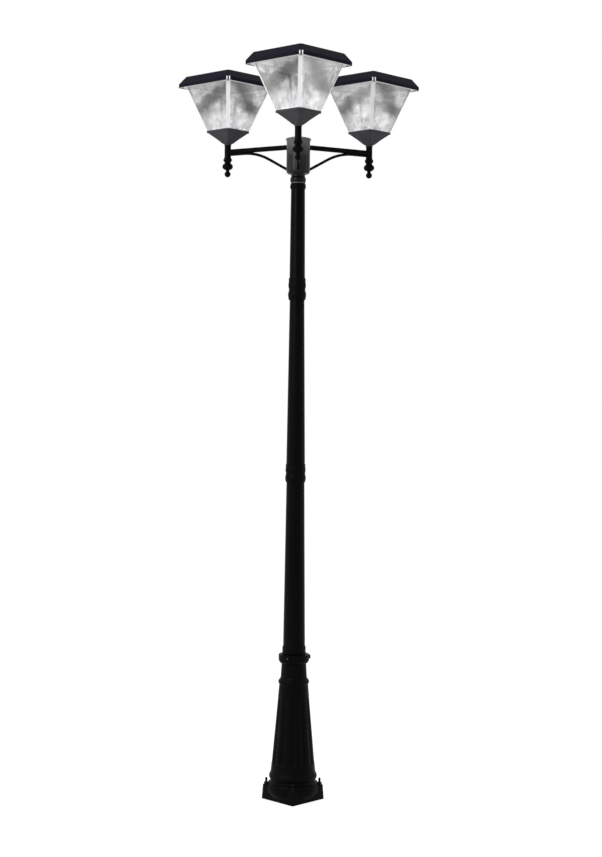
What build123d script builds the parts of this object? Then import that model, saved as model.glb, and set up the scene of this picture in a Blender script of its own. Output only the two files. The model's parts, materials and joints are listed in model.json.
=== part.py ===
"""Triple head solar lamp post, in millimetres.

The post stands on Z, with the underside of its foot at Z = 0. Three equal arms leave
the hub at 120 degrees; the front one points along -Y. Each carries a square solar lamp
head that swivels on an upright stem. All three heads are turned the same way, with one
corner to the front, and so is the square foot.
"""

from build123d import *
from math import cos, radians, sin, sqrt, tan
import os

os.makedirs("parts", exist_ok=True)

# ---------------------------------------------------------------- driving dimensions
ARM_ANGLES = {"front": -90, "right": 30, "left": 150}  # degrees round the post
FOOT_TURN = 45  # the foot stands with a corner to the front
HEAD_TURN = 47.5  # so do the heads, turned a little further to the right
FIT = 0.05  # radial slack of a turning fit
SLACK = 0.1  # radial slack between fixed parts that plug together

# Foot and base casting
FOOT_SIDE = 140
FOOT_HEIGHT = 46
FOOT_TAPER = 3  # draft of the foot's sides, degrees
ANCHOR_PCD = 170
ANCHOR_HOLE_RADIUS = 4.5
SPOT_RADIUS = 10.5  # flat seat for each anchor nut
SKIRT_RADIUS = 69  # where the bulge meets the foot
BULGE_LOW_Z = 8
BULGE_Z = 36
BULGE_RADIUS = 82.5
BULGE_TOP_Z = 54
BULGE_TOP_RADIUS = 79
THROAT_Z = 61
THROAT_RADIUS = 71
APRON_Z = 66
APRON_RADIUS = 76.5
APRON_TOP_Z = 88
COLUMN_Z = 98
COLUMN_RADIUS = 70.4
COLUMN_TOP_Z = 368
COLUMN_TOP_RADIUS = 46
BEAD_Z = 378
BEAD_RADIUS = 49
NECK_Z = 393
NECK_RADIUS = 41.6
NECK_TOP_RADIUS = 39.4
RING_UNDERSIDE_Z = 433
RING_Z = 447
RING_RADIUS = 49
RING_TOP_Z = 463
BASE_WALL = 7
CAVITY_TOP_Z = 360

# Flutes of the column
FLUTE_COUNT = 12
FLUTE_LOW_Z = 110
FLUTE_HIGH_Z = 337
FLUTE_LOW_RADIUS = 25
FLUTE_HIGH_RADIUS = 17
FLUTE_DEPTH = 2.6
FLUTE_END_ROUND = 15

# Screws that clamp the pole in the base
CLAMP_SCREW_ANGLES = [-113, 7, 127]
CLAMP_SCREW_Z = 454
CLAMP_SCREW_RADIUS = 4
CLAMP_HEAD_RADIUS = 6.5
CLAMP_HEAD_HEIGHT = 4
SPOT_FACE = 0.6  # depth of the flat cut for each screw head

# Pole: three tapered tubes
WALL = 3
POLE_FOOT_Z = 330
POLE_FOOT_RADIUS = 35
COLLAR_RADIUS = 37.5
COLLAR_HEIGHT = 26
COLLAR_ROUND = 6
LOWER_TOP_Z = 1025
LOWER_TOP_RADIUS = 28.7
MIDDLE_FOOT_Z = 1058
MIDDLE_FOOT_RADIUS = 29.8
MIDDLE_TOP_Z = 1607
MIDDLE_TOP_RADIUS = 23.5
UPPER_FOOT_Z = 1653
UPPER_FOOT_RADIUS = 24.7
UPPER_TOP_Z = 1950
UPPER_TOP_RADIUS = 22.4
SPIGOT_RADIUS = 19  # the pole's reduced top end
SPIGOT_TOP_Z = 2000
SOCKET_DEPTH = 12  # how deep each tube sits in its coupling
NIPPLE_GRIP = 60  # length of nipple inside each tube
NIPPLE_WALL = 3.5

# Couplings: shares of their height where the two beads start, crest and end
LOW_BEAD = (0.05, 0.22, 0.42)
HIGH_BEAD = (0.52, 0.66, 0.80)

# Ring on top of the pole and hub over it
TOP_RING_RADIUS = 25.3
TOP_RING_NECK_RADIUS = 22.3
TOP_RING_BEAD = 16
HUB_FOOT_Z = 1971
HUB_BEAD_HEIGHT = 16
HUB_NECK_RADIUS = 22
HUB_SHOULDER_Z = 1997
HUB_RADIUS = 37.7
HUB_CORNER = 10
HUB_TOP_Z = 2106
HUB_WALL = 4
HUB_FLOOR_Z = 2010
HUB_LIP_RADIUS = 14
LID_RADIUS = 40.2
LID_RIM = 4.5
LID_RISE = 7
LID_SPIGOT = 8

# Arms
ARM_REACH = 268
ARM_Z = 2086
ARM_RADIUS = 8
BRACE_RADIUS = 4.5
BRACE_FOOT_Z = 2013
BRACE_SLOPE = 28.5
BRACE_STRAIGHT_END = 110
BRACE_BEND = 200
ARM_BOLT_RADIUS = 4
ARM_BOLT_GRIP = 24
ARM_BOLT_ACROSS_FLATS = 13
ARM_BOLT_HEAD_HEIGHT = 5.3

# Stem under each head, and the turned drop below it
STEM_RADIUS = 10.5
STEM_FOOT_Z = 2065
STEM_FOOT_RADIUS = 11.5
STEM_TOP_Z = 2108
PIVOT_RADIUS = 8
PIVOT_HEIGHT = 28
DROP_STUD_RADIUS = 4
DROP_STUD_LENGTH = 16
DROP_BEAD_RADIUS = 14.3
DROP_WAIST_RADIUS = 10.2
DROP_BULB_RADIUS = 17.3
DROP_NECK_RADIUS = 6.2
DROP_BALL_RADIUS = 10.1
DROP_BALL_Z = 2013

# Lamp head, seen along its own square sides
TRAY_SIDE = 104
TRAY_CORNER = 6
TRAY_TOP_Z = 2154
TRAY_LIP = 6
TRAY_SLOPE_SIDE = 99  # where the slope starts under the lip
TRAY_MIDDLE_Z = 2128
TRAY_MIDDLE_SIDE = 57
TRAY_NECK_Z = 2113
TRAY_NECK_SIDE = 29
TRAY_NECK_RADIUS = 12
POCKET_SIDE = 88
POCKET_FLOOR_SIDE = 70
POCKET_FLOOR_Z = 2142
GRUB_RADIUS = 2.5
GRUB_Z = 2119
GRUB_LENGTH = 8
REFLECTOR_SIDE = 94.6
REFLECTOR_PLATE = 3
CONE_RADIUS = 43
CONE_TIP_RADIUS = 2.5
CONE_HEIGHT = 78
SHADE_FOOT_SIDE = 103
SHADE_FOOT_CORNER = 7
SHADE_TOP_Z = 2295
SHADE_TOP_SIDE = 200
SHADE_TOP_CORNER = 8.5
SHADE_WALL = 2.6
CAP_SIDE = 237
CAP_CORNER = 8.5
CAP_FOOT_Z = 2294
CAP_LIP = 10
CAP_TOP_Z = 2330
CAP_TOP_SIDE = 200
CAP_TOP_CORNER = 5
CAP_INNER_SIDE = 224
CAP_CEILING_SIDE = 203
CAP_CEILING = 3
CHASSIS_SIDE = 230.6
CHASSIS_CORNER = 7.5
CHASSIS_THICKNESS = 3
PANEL_SIDE = 186
PANEL_CORNER = 3
PANEL_THICKNESS = 3.2
PANEL_RECESS = 4
LED_BOARD_RADIUS = 30
LED_BOARD_THICKNESS = 1.6
LED_COUNT = 6
LED_CIRCLE_RADIUS = 18
LED_SIZE = 5
LED_HEIGHT = 1.2
BATTERY_LENGTH = 67
BATTERY_WIDTH = 36.8
BATTERY_THICKNESS = 18.4
BATTERY_Y = -20
BOARD_WIDTH = 72
BOARD_DEPTH = 34
BOARD_THICKNESS = 1.6
BOARD_Y = 90
BOARD_STAND = 6
BOARD_STAND_RADIUS = 2.5
BOARD_STAND_INSET = 5
CAP_SCREW_PITCH = 210
CAP_SCREW_RADIUS = 1.6
CAP_SCREW_HEAD_RADIUS = 3.4
CAP_SCREW_HEAD = 2
CAP_SCREW_LENGTH = 12
CAP_BOSS_RADIUS = 4.5
CAP_BOSS_HEIGHT = 12

# Push button of the switch, under the eave of the cap
BUTTON_Y = 107
BUTTON_RADIUS = 3.5
BUTTON_CLEARANCE = 0.3
BUTTON_PROUD = 4
BUTTON_TRAVEL = 1.5
BUTTON_FLANGE_RADIUS = 4.6
BUTTON_FLANGE = 1.5
SWITCH_WIDTH = 8
SWITCH_DEPTH = 6
SWITCH_Y = 104


# ---------------------------------------------------------------- helpers
def finish(piece, name):
    """Name one finished piece and write it out."""
    piece.part.label = name
    export_step(piece.part, f"parts/{name}.step")


def direction(angle):
    """Level unit vector at an angle round the post."""
    return Vector(cos(radians(angle)), sin(radians(angle)), 0)


def upright(angle):
    """Upright plane through the post: local X leads outwards at the angle, Y is up."""
    outward = direction(angle)
    return Plane(origin=(0, 0, 0), x_dir=outward, z_dir=(outward.Y, -outward.X, 0))


def square_on(angle, radius, height):
    """Plane square to a level line that leaves the post at the angle."""
    outward = direction(angle)
    centre = outward * radius + Vector(0, 0, height)
    return Plane(origin=centre, x_dir=(0, 0, 1), z_dir=outward)


def head_ground(angle):
    """Ground plane of one lamp head, centred under its stem, along its square sides."""
    centre = direction(angle) * ARM_REACH
    return Plane(origin=centre, x_dir=direction(HEAD_TURN), z_dir=(0, 0, 1))


def head_profile(head):
    """Upright plane through a head's own axis."""
    return Plane(origin=head.origin, x_dir=head.x_dir, z_dir=-head.y_dir)


def head_axis(head):
    """The line that a head turns about."""
    return Axis(origin=head.origin, direction=(0, 0, 1))


def corner_cut_square(side, leg):
    """Square with its four corners cut off at 45 degrees."""
    Rectangle(side, side)
    chamfer(vertices(), length=leg)


def cut_pyramid(plane, low, high, mode=Mode.ADD):
    """Straight-sided solid between two squares, each given as height, side and corner leg."""
    ends = []
    for height, side, leg in (low, high):
        with BuildSketch(plane.offset(height)) as end:
            corner_cut_square(side, leg)
        ends.append(end.sketch)
    loft(ends, ruled=True, mode=mode)


def disc(plane, height, radius, thickness, mode=Mode.ADD):
    """Round slab that stands on the plane raised to the height."""
    with BuildSketch(plane.offset(height)) as face:
        Circle(radius)
    extrude(face.sketch, amount=thickness, mode=mode)


def turned(plane, axis, *points):
    """Solid turned from a straight-sided outline of (radius, height) points."""
    with BuildSketch(plane) as half:
        with BuildLine():
            Polyline(*points, points[0])
        make_face()
    revolve(half.sketch, axis=axis)


# ---------------------------------------------------------------- base casting
FOOT_GROUND = Plane(origin=(0, 0, 0), x_dir=direction(FOOT_TURN), z_dir=(0, 0, 1))
COLUMN_SLOPE = (COLUMN_RADIUS - COLUMN_TOP_RADIUS) / (COLUMN_TOP_Z - COLUMN_Z)


def column_radius(height):
    """Outside of the tapering column at a height."""
    return COLUMN_RADIUS - COLUMN_SLOPE * (height - COLUMN_Z)


# One flute's cutter: a tapered, round-ended rod that leans inwards with the column.
flute_low = column_radius(FLUTE_LOW_Z) + FLUTE_LOW_RADIUS - FLUTE_DEPTH
flute_high = column_radius(FLUTE_HIGH_Z) + FLUTE_HIGH_RADIUS - FLUTE_DEPTH
flute_axis = Vector(flute_high - flute_low, 0, FLUTE_HIGH_Z - FLUTE_LOW_Z)
flute_length = flute_axis.length
flute_up = flute_axis.normalized()
flute_plane = Plane(
    origin=(flute_low, 0, FLUTE_LOW_Z), x_dir=(flute_up.Z, 0, -flute_up.X), z_dir=(0, -1, 0)
)
with BuildPart() as flute_cutter:
    with BuildSketch(flute_plane):
        with BuildLine():
            low_round = FLUTE_LOW_RADIUS - FLUTE_END_ROUND
            high_round = FLUTE_HIGH_RADIUS - FLUTE_END_ROUND
            Polyline((high_round, flute_length), (0, flute_length), (0, 0), (low_round, 0))
            RadiusArc((low_round, 0), (FLUTE_LOW_RADIUS, FLUTE_END_ROUND), -FLUTE_END_ROUND)
            Line(
                (FLUTE_LOW_RADIUS, FLUTE_END_ROUND),
                (FLUTE_HIGH_RADIUS, flute_length - FLUTE_END_ROUND),
            )
            RadiusArc(
                (FLUTE_HIGH_RADIUS, flute_length - FLUTE_END_ROUND),
                (high_round, flute_length),
                -FLUTE_END_ROUND,
            )
        make_face()
    revolve(axis=Axis(origin=flute_plane.origin, direction=flute_up))

with BuildPart() as base_casting:
    with BuildSketch(FOOT_GROUND):
        Rectangle(FOOT_SIDE, FOOT_SIDE)
    extrude(amount=FOOT_HEIGHT, taper=FOOT_TAPER)
    # Bulge, apron, tapering column, bead, neck and top ring are one turned form. The bulge
    # stands out from the foot's flat sides, so that the foot's corners look like lugs.
    with BuildSketch(Plane.XZ):
        with BuildLine():
            Polyline(
                (0, RING_TOP_Z),
                (0, 0),
                (SKIRT_RADIUS, 0),
                (SKIRT_RADIUS, BULGE_LOW_Z),
            )
            ThreePointArc(
                (SKIRT_RADIUS, BULGE_LOW_Z),
                (BULGE_RADIUS, BULGE_Z),
                (BULGE_TOP_RADIUS, BULGE_TOP_Z),
            )
            ThreePointArc(
                (BULGE_TOP_RADIUS, BULGE_TOP_Z),
                (THROAT_RADIUS + 2, THROAT_Z - 4),
                (THROAT_RADIUS, THROAT_Z),
            )
            Polyline(
                (THROAT_RADIUS, THROAT_Z),
                (THROAT_RADIUS, APRON_Z - 2),
                (APRON_RADIUS - 3, APRON_Z),
            )
            ThreePointArc(
                (APRON_RADIUS - 3, APRON_Z),
                (APRON_RADIUS, (APRON_Z + APRON_TOP_Z) / 2 - 2),
                (APRON_RADIUS - 3.5, APRON_TOP_Z - 3),
            )
            Polyline(
                (APRON_RADIUS - 3.5, APRON_TOP_Z - 3),
                (COLUMN_RADIUS + 1.5, APRON_TOP_Z),
                (COLUMN_RADIUS, COLUMN_Z),
                (COLUMN_TOP_RADIUS, COLUMN_TOP_Z),
            )
            ThreePointArc(
                (COLUMN_TOP_RADIUS, COLUMN_TOP_Z),
                (BEAD_RADIUS, BEAD_Z),
                (BEAD_RADIUS - 2.5, BEAD_Z + 4),
            )
            ThreePointArc(
                (BEAD_RADIUS - 2.5, BEAD_Z + 4),
                (NECK_RADIUS + 1, NECK_Z - 5),
                (NECK_RADIUS, NECK_Z),
            )
            Line((NECK_RADIUS, NECK_Z), (NECK_TOP_RADIUS, RING_UNDERSIDE_Z))
            ThreePointArc(
                (NECK_TOP_RADIUS, RING_UNDERSIDE_Z),
                (RING_RADIUS - 2.6, RING_Z - 8),
                (RING_RADIUS, RING_Z),
            )
            Polyline(
                (RING_RADIUS, RING_Z),
                (RING_RADIUS, RING_TOP_Z - 1.5),
                (RING_RADIUS - 1.5, RING_TOP_Z),
                (0, RING_TOP_Z),
            )
        make_face()
    revolve(axis=Axis.Z)
    with PolarLocations(0, FLUTE_COUNT):
        add(flute_cutter.part, mode=Mode.SUBTRACT)
    # The casting is hollow, open below, and bored at the top for the pole.
    with BuildSketch(Plane.XZ):
        with BuildLine():
            Polyline(
                (0, 0),
                (SKIRT_RADIUS - BASE_WALL, 0),
                (SKIRT_RADIUS - BASE_WALL, APRON_TOP_Z),
                (COLUMN_TOP_RADIUS - BASE_WALL, CAVITY_TOP_Z),
                (POLE_FOOT_RADIUS + SLACK, CAVITY_TOP_Z),
                (POLE_FOOT_RADIUS + SLACK, RING_TOP_Z),
                (0, RING_TOP_Z),
                (0, 0),
            )
        make_face()
    revolve(axis=Axis.Z, mode=Mode.SUBTRACT)
    # Anchor holes, one in each corner of the foot, each with a flat seat for its nut.
    with BuildSketch(Plane.XY):
        with PolarLocations(ANCHOR_PCD / 2, 4):
            Circle(ANCHOR_HOLE_RADIUS)
    extrude(amount=FOOT_HEIGHT + 10, mode=Mode.SUBTRACT)
    with BuildSketch(Plane.XY.offset(FOOT_HEIGHT)):
        with PolarLocations(ANCHOR_PCD / 2, 4):
            Circle(SPOT_RADIUS)
    extrude(amount=APRON_Z - 3 - FOOT_HEIGHT, mode=Mode.SUBTRACT)
    # Tapped holes and spot faces for the clamping screws.
    for angle in CLAMP_SCREW_ANGLES:
        disc(
            square_on(angle, 0, CLAMP_SCREW_Z),
            POLE_FOOT_RADIUS - 2,
            CLAMP_SCREW_RADIUS + SLACK,
            RING_RADIUS - POLE_FOOT_RADIUS + 4,
            Mode.SUBTRACT,
        )
        disc(
            square_on(angle, 0, CLAMP_SCREW_Z),
            RING_RADIUS - SPOT_FACE,
            CLAMP_HEAD_RADIUS + 0.5,
            CLAMP_HEAD_HEIGHT,
            Mode.SUBTRACT,
        )
finish(base_casting, "base_casting")

with BuildPart() as base_clamp_screws:
    for angle in CLAMP_SCREW_ANGLES:
        radial = square_on(angle, 0, CLAMP_SCREW_Z)
        seat = RING_RADIUS - SPOT_FACE
        disc(radial, POLE_FOOT_RADIUS + FIT, CLAMP_SCREW_RADIUS, seat - POLE_FOOT_RADIUS)
        disc(radial, seat, CLAMP_HEAD_RADIUS, CLAMP_HEAD_HEIGHT)
finish(base_clamp_screws, "base_clamp_screws")

# ---------------------------------------------------------------- pole
collar_foot = RING_TOP_Z
collar_top = RING_TOP_Z + COLLAR_HEIGHT

with BuildPart() as pole_collar:
    with BuildSketch(Plane.XZ):
        with BuildLine():
            Polyline(
                (COLLAR_RADIUS, collar_top - COLLAR_ROUND),
                (COLLAR_RADIUS, collar_foot),
                (POLE_FOOT_RADIUS + SLACK, collar_foot),
                (POLE_FOOT_RADIUS + SLACK, collar_top),
                (POLE_FOOT_RADIUS + 0.8, collar_top),
            )
            ThreePointArc(
                (POLE_FOOT_RADIUS + 0.8, collar_top),
                (COLLAR_RADIUS - 0.4, collar_top - COLLAR_ROUND / 2),
                (COLLAR_RADIUS, collar_top - COLLAR_ROUND),
            )
        make_face()
    revolve(axis=Axis.Z)
finish(pole_collar, "pole_collar")

lower_bore = LOWER_TOP_RADIUS - WALL
upper_bore = MIDDLE_TOP_RADIUS - WALL

with BuildPart() as lower_pole:
    turned(
        Plane.XZ,
        Axis.Z,
        (POLE_FOOT_RADIUS, POLE_FOOT_Z),
        (POLE_FOOT_RADIUS, collar_top),
        (LOWER_TOP_RADIUS, LOWER_TOP_Z - SOCKET_DEPTH),
        (LOWER_TOP_RADIUS, LOWER_TOP_Z),
        (lower_bore, LOWER_TOP_Z),
        (lower_bore, LOWER_TOP_Z - NIPPLE_GRIP - 5),
        (POLE_FOOT_RADIUS - WALL, collar_top),
        (POLE_FOOT_RADIUS - WALL, POLE_FOOT_Z),
    )
finish(lower_pole, "lower_pole")

with BuildPart() as middle_pole:
    turned(
        Plane.XZ,
        Axis.Z,
        (MIDDLE_FOOT_RADIUS, MIDDLE_FOOT_Z),
        (MIDDLE_FOOT_RADIUS, MIDDLE_FOOT_Z + SOCKET_DEPTH),
        (MIDDLE_TOP_RADIUS, MIDDLE_TOP_Z - SOCKET_DEPTH),
        (MIDDLE_TOP_RADIUS, MIDDLE_TOP_Z),
        (upper_bore, MIDDLE_TOP_Z),
        (upper_bore, MIDDLE_TOP_Z - NIPPLE_GRIP - 5),
        (lower_bore, MIDDLE_FOOT_Z + NIPPLE_GRIP + 5),
        (lower_bore, MIDDLE_FOOT_Z),
    )
finish(middle_pole, "middle_pole")

with BuildPart() as upper_pole:
    turned(
        Plane.XZ,
        Axis.Z,
        (UPPER_FOOT_RADIUS, UPPER_FOOT_Z),
        (UPPER_FOOT_RADIUS, UPPER_FOOT_Z + SOCKET_DEPTH),
        (UPPER_TOP_RADIUS, UPPER_TOP_Z),
        (SPIGOT_RADIUS, UPPER_TOP_Z),
        (SPIGOT_RADIUS, SPIGOT_TOP_Z),
        (SPIGOT_RADIUS - WALL, SPIGOT_TOP_Z),
        (SPIGOT_RADIUS - WALL, UPPER_TOP_Z - 2 * WALL),
        (upper_bore, UPPER_FOOT_Z + NIPPLE_GRIP + 5),
        (upper_bore, UPPER_FOOT_Z),
    )
finish(upper_pole, "upper_pole")


def coupling(foot_z, top_z, foot_tube, top_tube, bore, band, low_crest, groove, high_crest):
    """Turned collar with two beads. Each tube sits in a socket against a step."""

    def at(share):
        return foot_z + share * (top_z - foot_z)

    with BuildPart() as collar:
        with BuildSketch(Plane.XZ):
            with BuildLine():
                Polyline(
                    (band, at(HIGH_BEAD[2])),
                    (band, top_z - 1),
                    (band - 1, top_z),
                    (top_tube + SLACK, top_z),
                    (top_tube + SLACK, top_z - SOCKET_DEPTH),
                    (bore, top_z - SOCKET_DEPTH),
                    (bore, foot_z + SOCKET_DEPTH),
                    (foot_tube + SLACK, foot_z + SOCKET_DEPTH),
                    (foot_tube + SLACK, foot_z),
                    (band, foot_z),
                    (band, at(LOW_BEAD[0])),
                )
                ThreePointArc(
                    (band, at(LOW_BEAD[0])),
                    (low_crest, at(LOW_BEAD[1])),
                    (groove, at(LOW_BEAD[2])),
                )
                Line((groove, at(LOW_BEAD[2])), (groove, at(HIGH_BEAD[0])))
                ThreePointArc(
                    (groove, at(HIGH_BEAD[0])),
                    (high_crest, at(HIGH_BEAD[1])),
                    (band, at(HIGH_BEAD[2])),
                )
            make_face()
        revolve(axis=Axis.Z)
    return collar


def nipple(tube_bore, low_tube_top, high_tube_foot):
    """Short tube inside the joint, which both pole tubes screw on to."""
    low = low_tube_top - NIPPLE_GRIP
    high = high_tube_foot + NIPPLE_GRIP
    outside = tube_bore - SLACK
    with BuildPart() as sleeve:
        turned(
            Plane.XZ,
            Axis.Z,
            (outside, low),
            (outside, high),
            (outside - NIPPLE_WALL, high),
            (outside - NIPPLE_WALL, low),
        )
    return sleeve


lower_coupling = coupling(
    LOWER_TOP_Z - SOCKET_DEPTH,
    MIDDLE_FOOT_Z + SOCKET_DEPTH,
    LOWER_TOP_RADIUS,
    MIDDLE_FOOT_RADIUS,
    lower_bore,
    band=31.4,
    low_crest=33,
    groove=30.9,
    high_crest=32.2,
)
finish(lower_coupling, "lower_coupling")
finish(nipple(lower_bore, LOWER_TOP_Z, MIDDLE_FOOT_Z), "lower_nipple")

upper_coupling = coupling(
    MIDDLE_TOP_Z - SOCKET_DEPTH,
    UPPER_FOOT_Z + SOCKET_DEPTH,
    MIDDLE_TOP_RADIUS,
    UPPER_FOOT_RADIUS,
    upper_bore,
    band=27,
    low_crest=29,
    groove=26.4,
    high_crest=28.2,
)
finish(upper_coupling, "upper_coupling")
finish(nipple(upper_bore, MIDDLE_TOP_Z, UPPER_FOOT_Z), "upper_nipple")

with BuildPart() as pole_top_ring:
    with BuildSketch(Plane.XZ):
        bead_top = UPPER_TOP_Z + TOP_RING_BEAD
        with BuildLine():
            Polyline(
                (TOP_RING_RADIUS - 1.5, UPPER_TOP_Z),
                (SPIGOT_RADIUS + SLACK, UPPER_TOP_Z),
                (SPIGOT_RADIUS + SLACK, HUB_FOOT_Z),
                (TOP_RING_NECK_RADIUS, HUB_FOOT_Z),
                (TOP_RING_NECK_RADIUS, bead_top),
                (TOP_RING_RADIUS - 1.5, bead_top),
            )
            ThreePointArc(
                (TOP_RING_RADIUS - 1.5, bead_top),
                (TOP_RING_RADIUS, UPPER_TOP_Z + TOP_RING_BEAD / 2),
                (TOP_RING_RADIUS - 1.5, UPPER_TOP_Z),
            )
        make_face()
    revolve(axis=Axis.Z)
finish(pole_top_ring, "pole_top_ring")

# ---------------------------------------------------------------- hub
with BuildPart() as hub:
    with BuildSketch(Plane.XZ):
        bead_top = HUB_FOOT_Z + HUB_BEAD_HEIGHT
        with BuildLine():
            Polyline(
                (HUB_RADIUS, HUB_SHOULDER_Z + HUB_CORNER),
                (HUB_RADIUS, HUB_TOP_Z),
                (HUB_RADIUS - HUB_WALL, HUB_TOP_Z),
                (HUB_RADIUS - HUB_WALL, HUB_FLOOR_Z),
                (HUB_LIP_RADIUS, HUB_FLOOR_Z),
                (HUB_LIP_RADIUS, SPIGOT_TOP_Z),
                (SPIGOT_RADIUS + SLACK, SPIGOT_TOP_Z),
                (SPIGOT_RADIUS + SLACK, HUB_FOOT_Z),
                (TOP_RING_RADIUS - 1.5, HUB_FOOT_Z),
            )
            ThreePointArc(
                (TOP_RING_RADIUS - 1.5, HUB_FOOT_Z),
                (TOP_RING_RADIUS, HUB_FOOT_Z + HUB_BEAD_HEIGHT / 2),
                (TOP_RING_RADIUS - 1.5, bead_top),
            )
            ThreePointArc(
                (TOP_RING_RADIUS - 1.5, bead_top),
                (HUB_NECK_RADIUS, (bead_top + HUB_SHOULDER_Z) / 2),
                (HUB_NECK_RADIUS + 2, HUB_SHOULDER_Z),
            )
            Line(
                (HUB_NECK_RADIUS + 2, HUB_SHOULDER_Z),
                (HUB_RADIUS - HUB_CORNER, HUB_SHOULDER_Z),
            )
            RadiusArc(
                (HUB_RADIUS - HUB_CORNER, HUB_SHOULDER_Z),
                (HUB_RADIUS, HUB_SHOULDER_Z + HUB_CORNER),
                -HUB_CORNER,
            )
        make_face()
    revolve(axis=Axis.Z)
    for angle in ARM_ANGLES.values():
        disc(
            square_on(angle, 0, ARM_Z),
            HUB_RADIUS - HUB_WALL - 2,
            ARM_BOLT_RADIUS + SLACK,
            HUB_WALL + 4,
            Mode.SUBTRACT,
        )
finish(hub, "hub")

with BuildPart() as hub_lid:
    with BuildSketch(Plane.XZ):
        lid_inner = HUB_RADIUS - HUB_WALL - SLACK
        rim_top = HUB_TOP_Z + LID_RIM
        with BuildLine():
            Polyline(
                (0, rim_top + LID_RISE),
                (0, HUB_TOP_Z - LID_SPIGOT + WALL),
                (lid_inner - WALL, HUB_TOP_Z - LID_SPIGOT + WALL),
                (lid_inner - WALL, HUB_TOP_Z - LID_SPIGOT),
                (lid_inner, HUB_TOP_Z - LID_SPIGOT),
                (lid_inner, HUB_TOP_Z),
                (LID_RADIUS, HUB_TOP_Z),
                (LID_RADIUS, rim_top),
                (LID_RADIUS - 2, rim_top + 1),
            )
            half_span = LID_RADIUS - 2
            dome_rise = LID_RISE - 1
            dome_radius = (half_span**2 + dome_rise**2) / (2 * dome_rise)
            RadiusArc((half_span, rim_top + 1), (0, rim_top + LID_RISE), -dome_radius)
        make_face()
    revolve(axis=Axis.Z)
finish(hub_lid, "hub_lid")

with BuildPart() as arm_bolts:
    hub_inside = HUB_RADIUS - HUB_WALL
    hex_corner = ARM_BOLT_ACROSS_FLATS / sqrt(3)
    head_face = sqrt(hub_inside**2 - hex_corner**2) - FIT
    for angle in ARM_ANGLES.values():
        radial = square_on(angle, 0, ARM_Z)
        disc(radial, head_face, ARM_BOLT_RADIUS, HUB_RADIUS + ARM_BOLT_GRIP - head_face)
        with BuildSketch(radial.offset(head_face)):
            RegularPolygon(radius=ARM_BOLT_ACROSS_FLATS / 2, side_count=6, major_radius=False)
        extrude(amount=-ARM_BOLT_HEAD_HEIGHT)
finish(arm_bolts, "arm_bolts")


# ---------------------------------------------------------------- arms, stems and drops
def arm(angle):
    """Level bar with a brace that rises from the hub and runs out into its underside."""
    rise = tan(radians(BRACE_SLOPE))
    inside = HUB_RADIUS - HUB_WALL
    with BuildPart() as bracket:
        with BuildSketch(square_on(angle, inside, ARM_Z)):
            Circle(ARM_RADIUS)
        extrude(amount=ARM_REACH - inside)
        with BuildLine(upright(angle)) as route:
            start = (inside, BRACE_FOOT_Z - (HUB_RADIUS - inside) * rise)
            bend = (
                BRACE_STRAIGHT_END,
                BRACE_FOOT_Z + (BRACE_STRAIGHT_END - HUB_RADIUS) * rise,
            )
            straight = Line(start, bend)
            curve = JernArc(straight @ 1, straight % 1, BRACE_BEND, -BRACE_SLOPE)
            level = (curve @ 1).Z
            Line((BRACE_STRAIGHT_END + BRACE_BEND * sin(radians(BRACE_SLOPE)), level),
                 (ARM_REACH, level))
        with BuildSketch(Plane(origin=route.line @ 0, z_dir=route.line % 0)):
            Circle(BRACE_RADIUS)
        sweep(path=route.line)
        # The ends are cut to the round of the hub and of the stem.
        disc(Plane.XY, HUB_SHOULDER_Z, HUB_RADIUS, HUB_TOP_Z - HUB_SHOULDER_Z, Mode.SUBTRACT)
        disc(head_ground(angle), STEM_FOOT_Z, STEM_RADIUS, STEM_TOP_Z - STEM_FOOT_Z, Mode.SUBTRACT)
        disc(
            square_on(angle, 0, ARM_Z),
            HUB_RADIUS - 2,
            ARM_BOLT_RADIUS + SLACK,
            ARM_BOLT_GRIP + 3,
            Mode.SUBTRACT,
        )
    return bracket


def stem(head):
    """Upright socket at the arm's end; its reduced top is the pivot of the lamp head."""
    hole = DROP_STUD_RADIUS + SLACK
    with BuildPart() as post:
        turned(
            head_profile(head),
            head_axis(head),
            (hole, STEM_FOOT_Z),
            (STEM_FOOT_RADIUS, STEM_FOOT_Z),
            (STEM_FOOT_RADIUS, STEM_FOOT_Z + 3),
            (STEM_RADIUS, STEM_FOOT_Z + 4.5),
            (STEM_RADIUS, STEM_TOP_Z),
            (PIVOT_RADIUS, STEM_TOP_Z),
            (PIVOT_RADIUS, STEM_TOP_Z + PIVOT_HEIGHT),
            (0, STEM_TOP_Z + PIVOT_HEIGHT),
            (0, STEM_FOOT_Z + DROP_STUD_LENGTH + 2),
            (hole, STEM_FOOT_Z + DROP_STUD_LENGTH + 2),
        )
    return post


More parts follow.
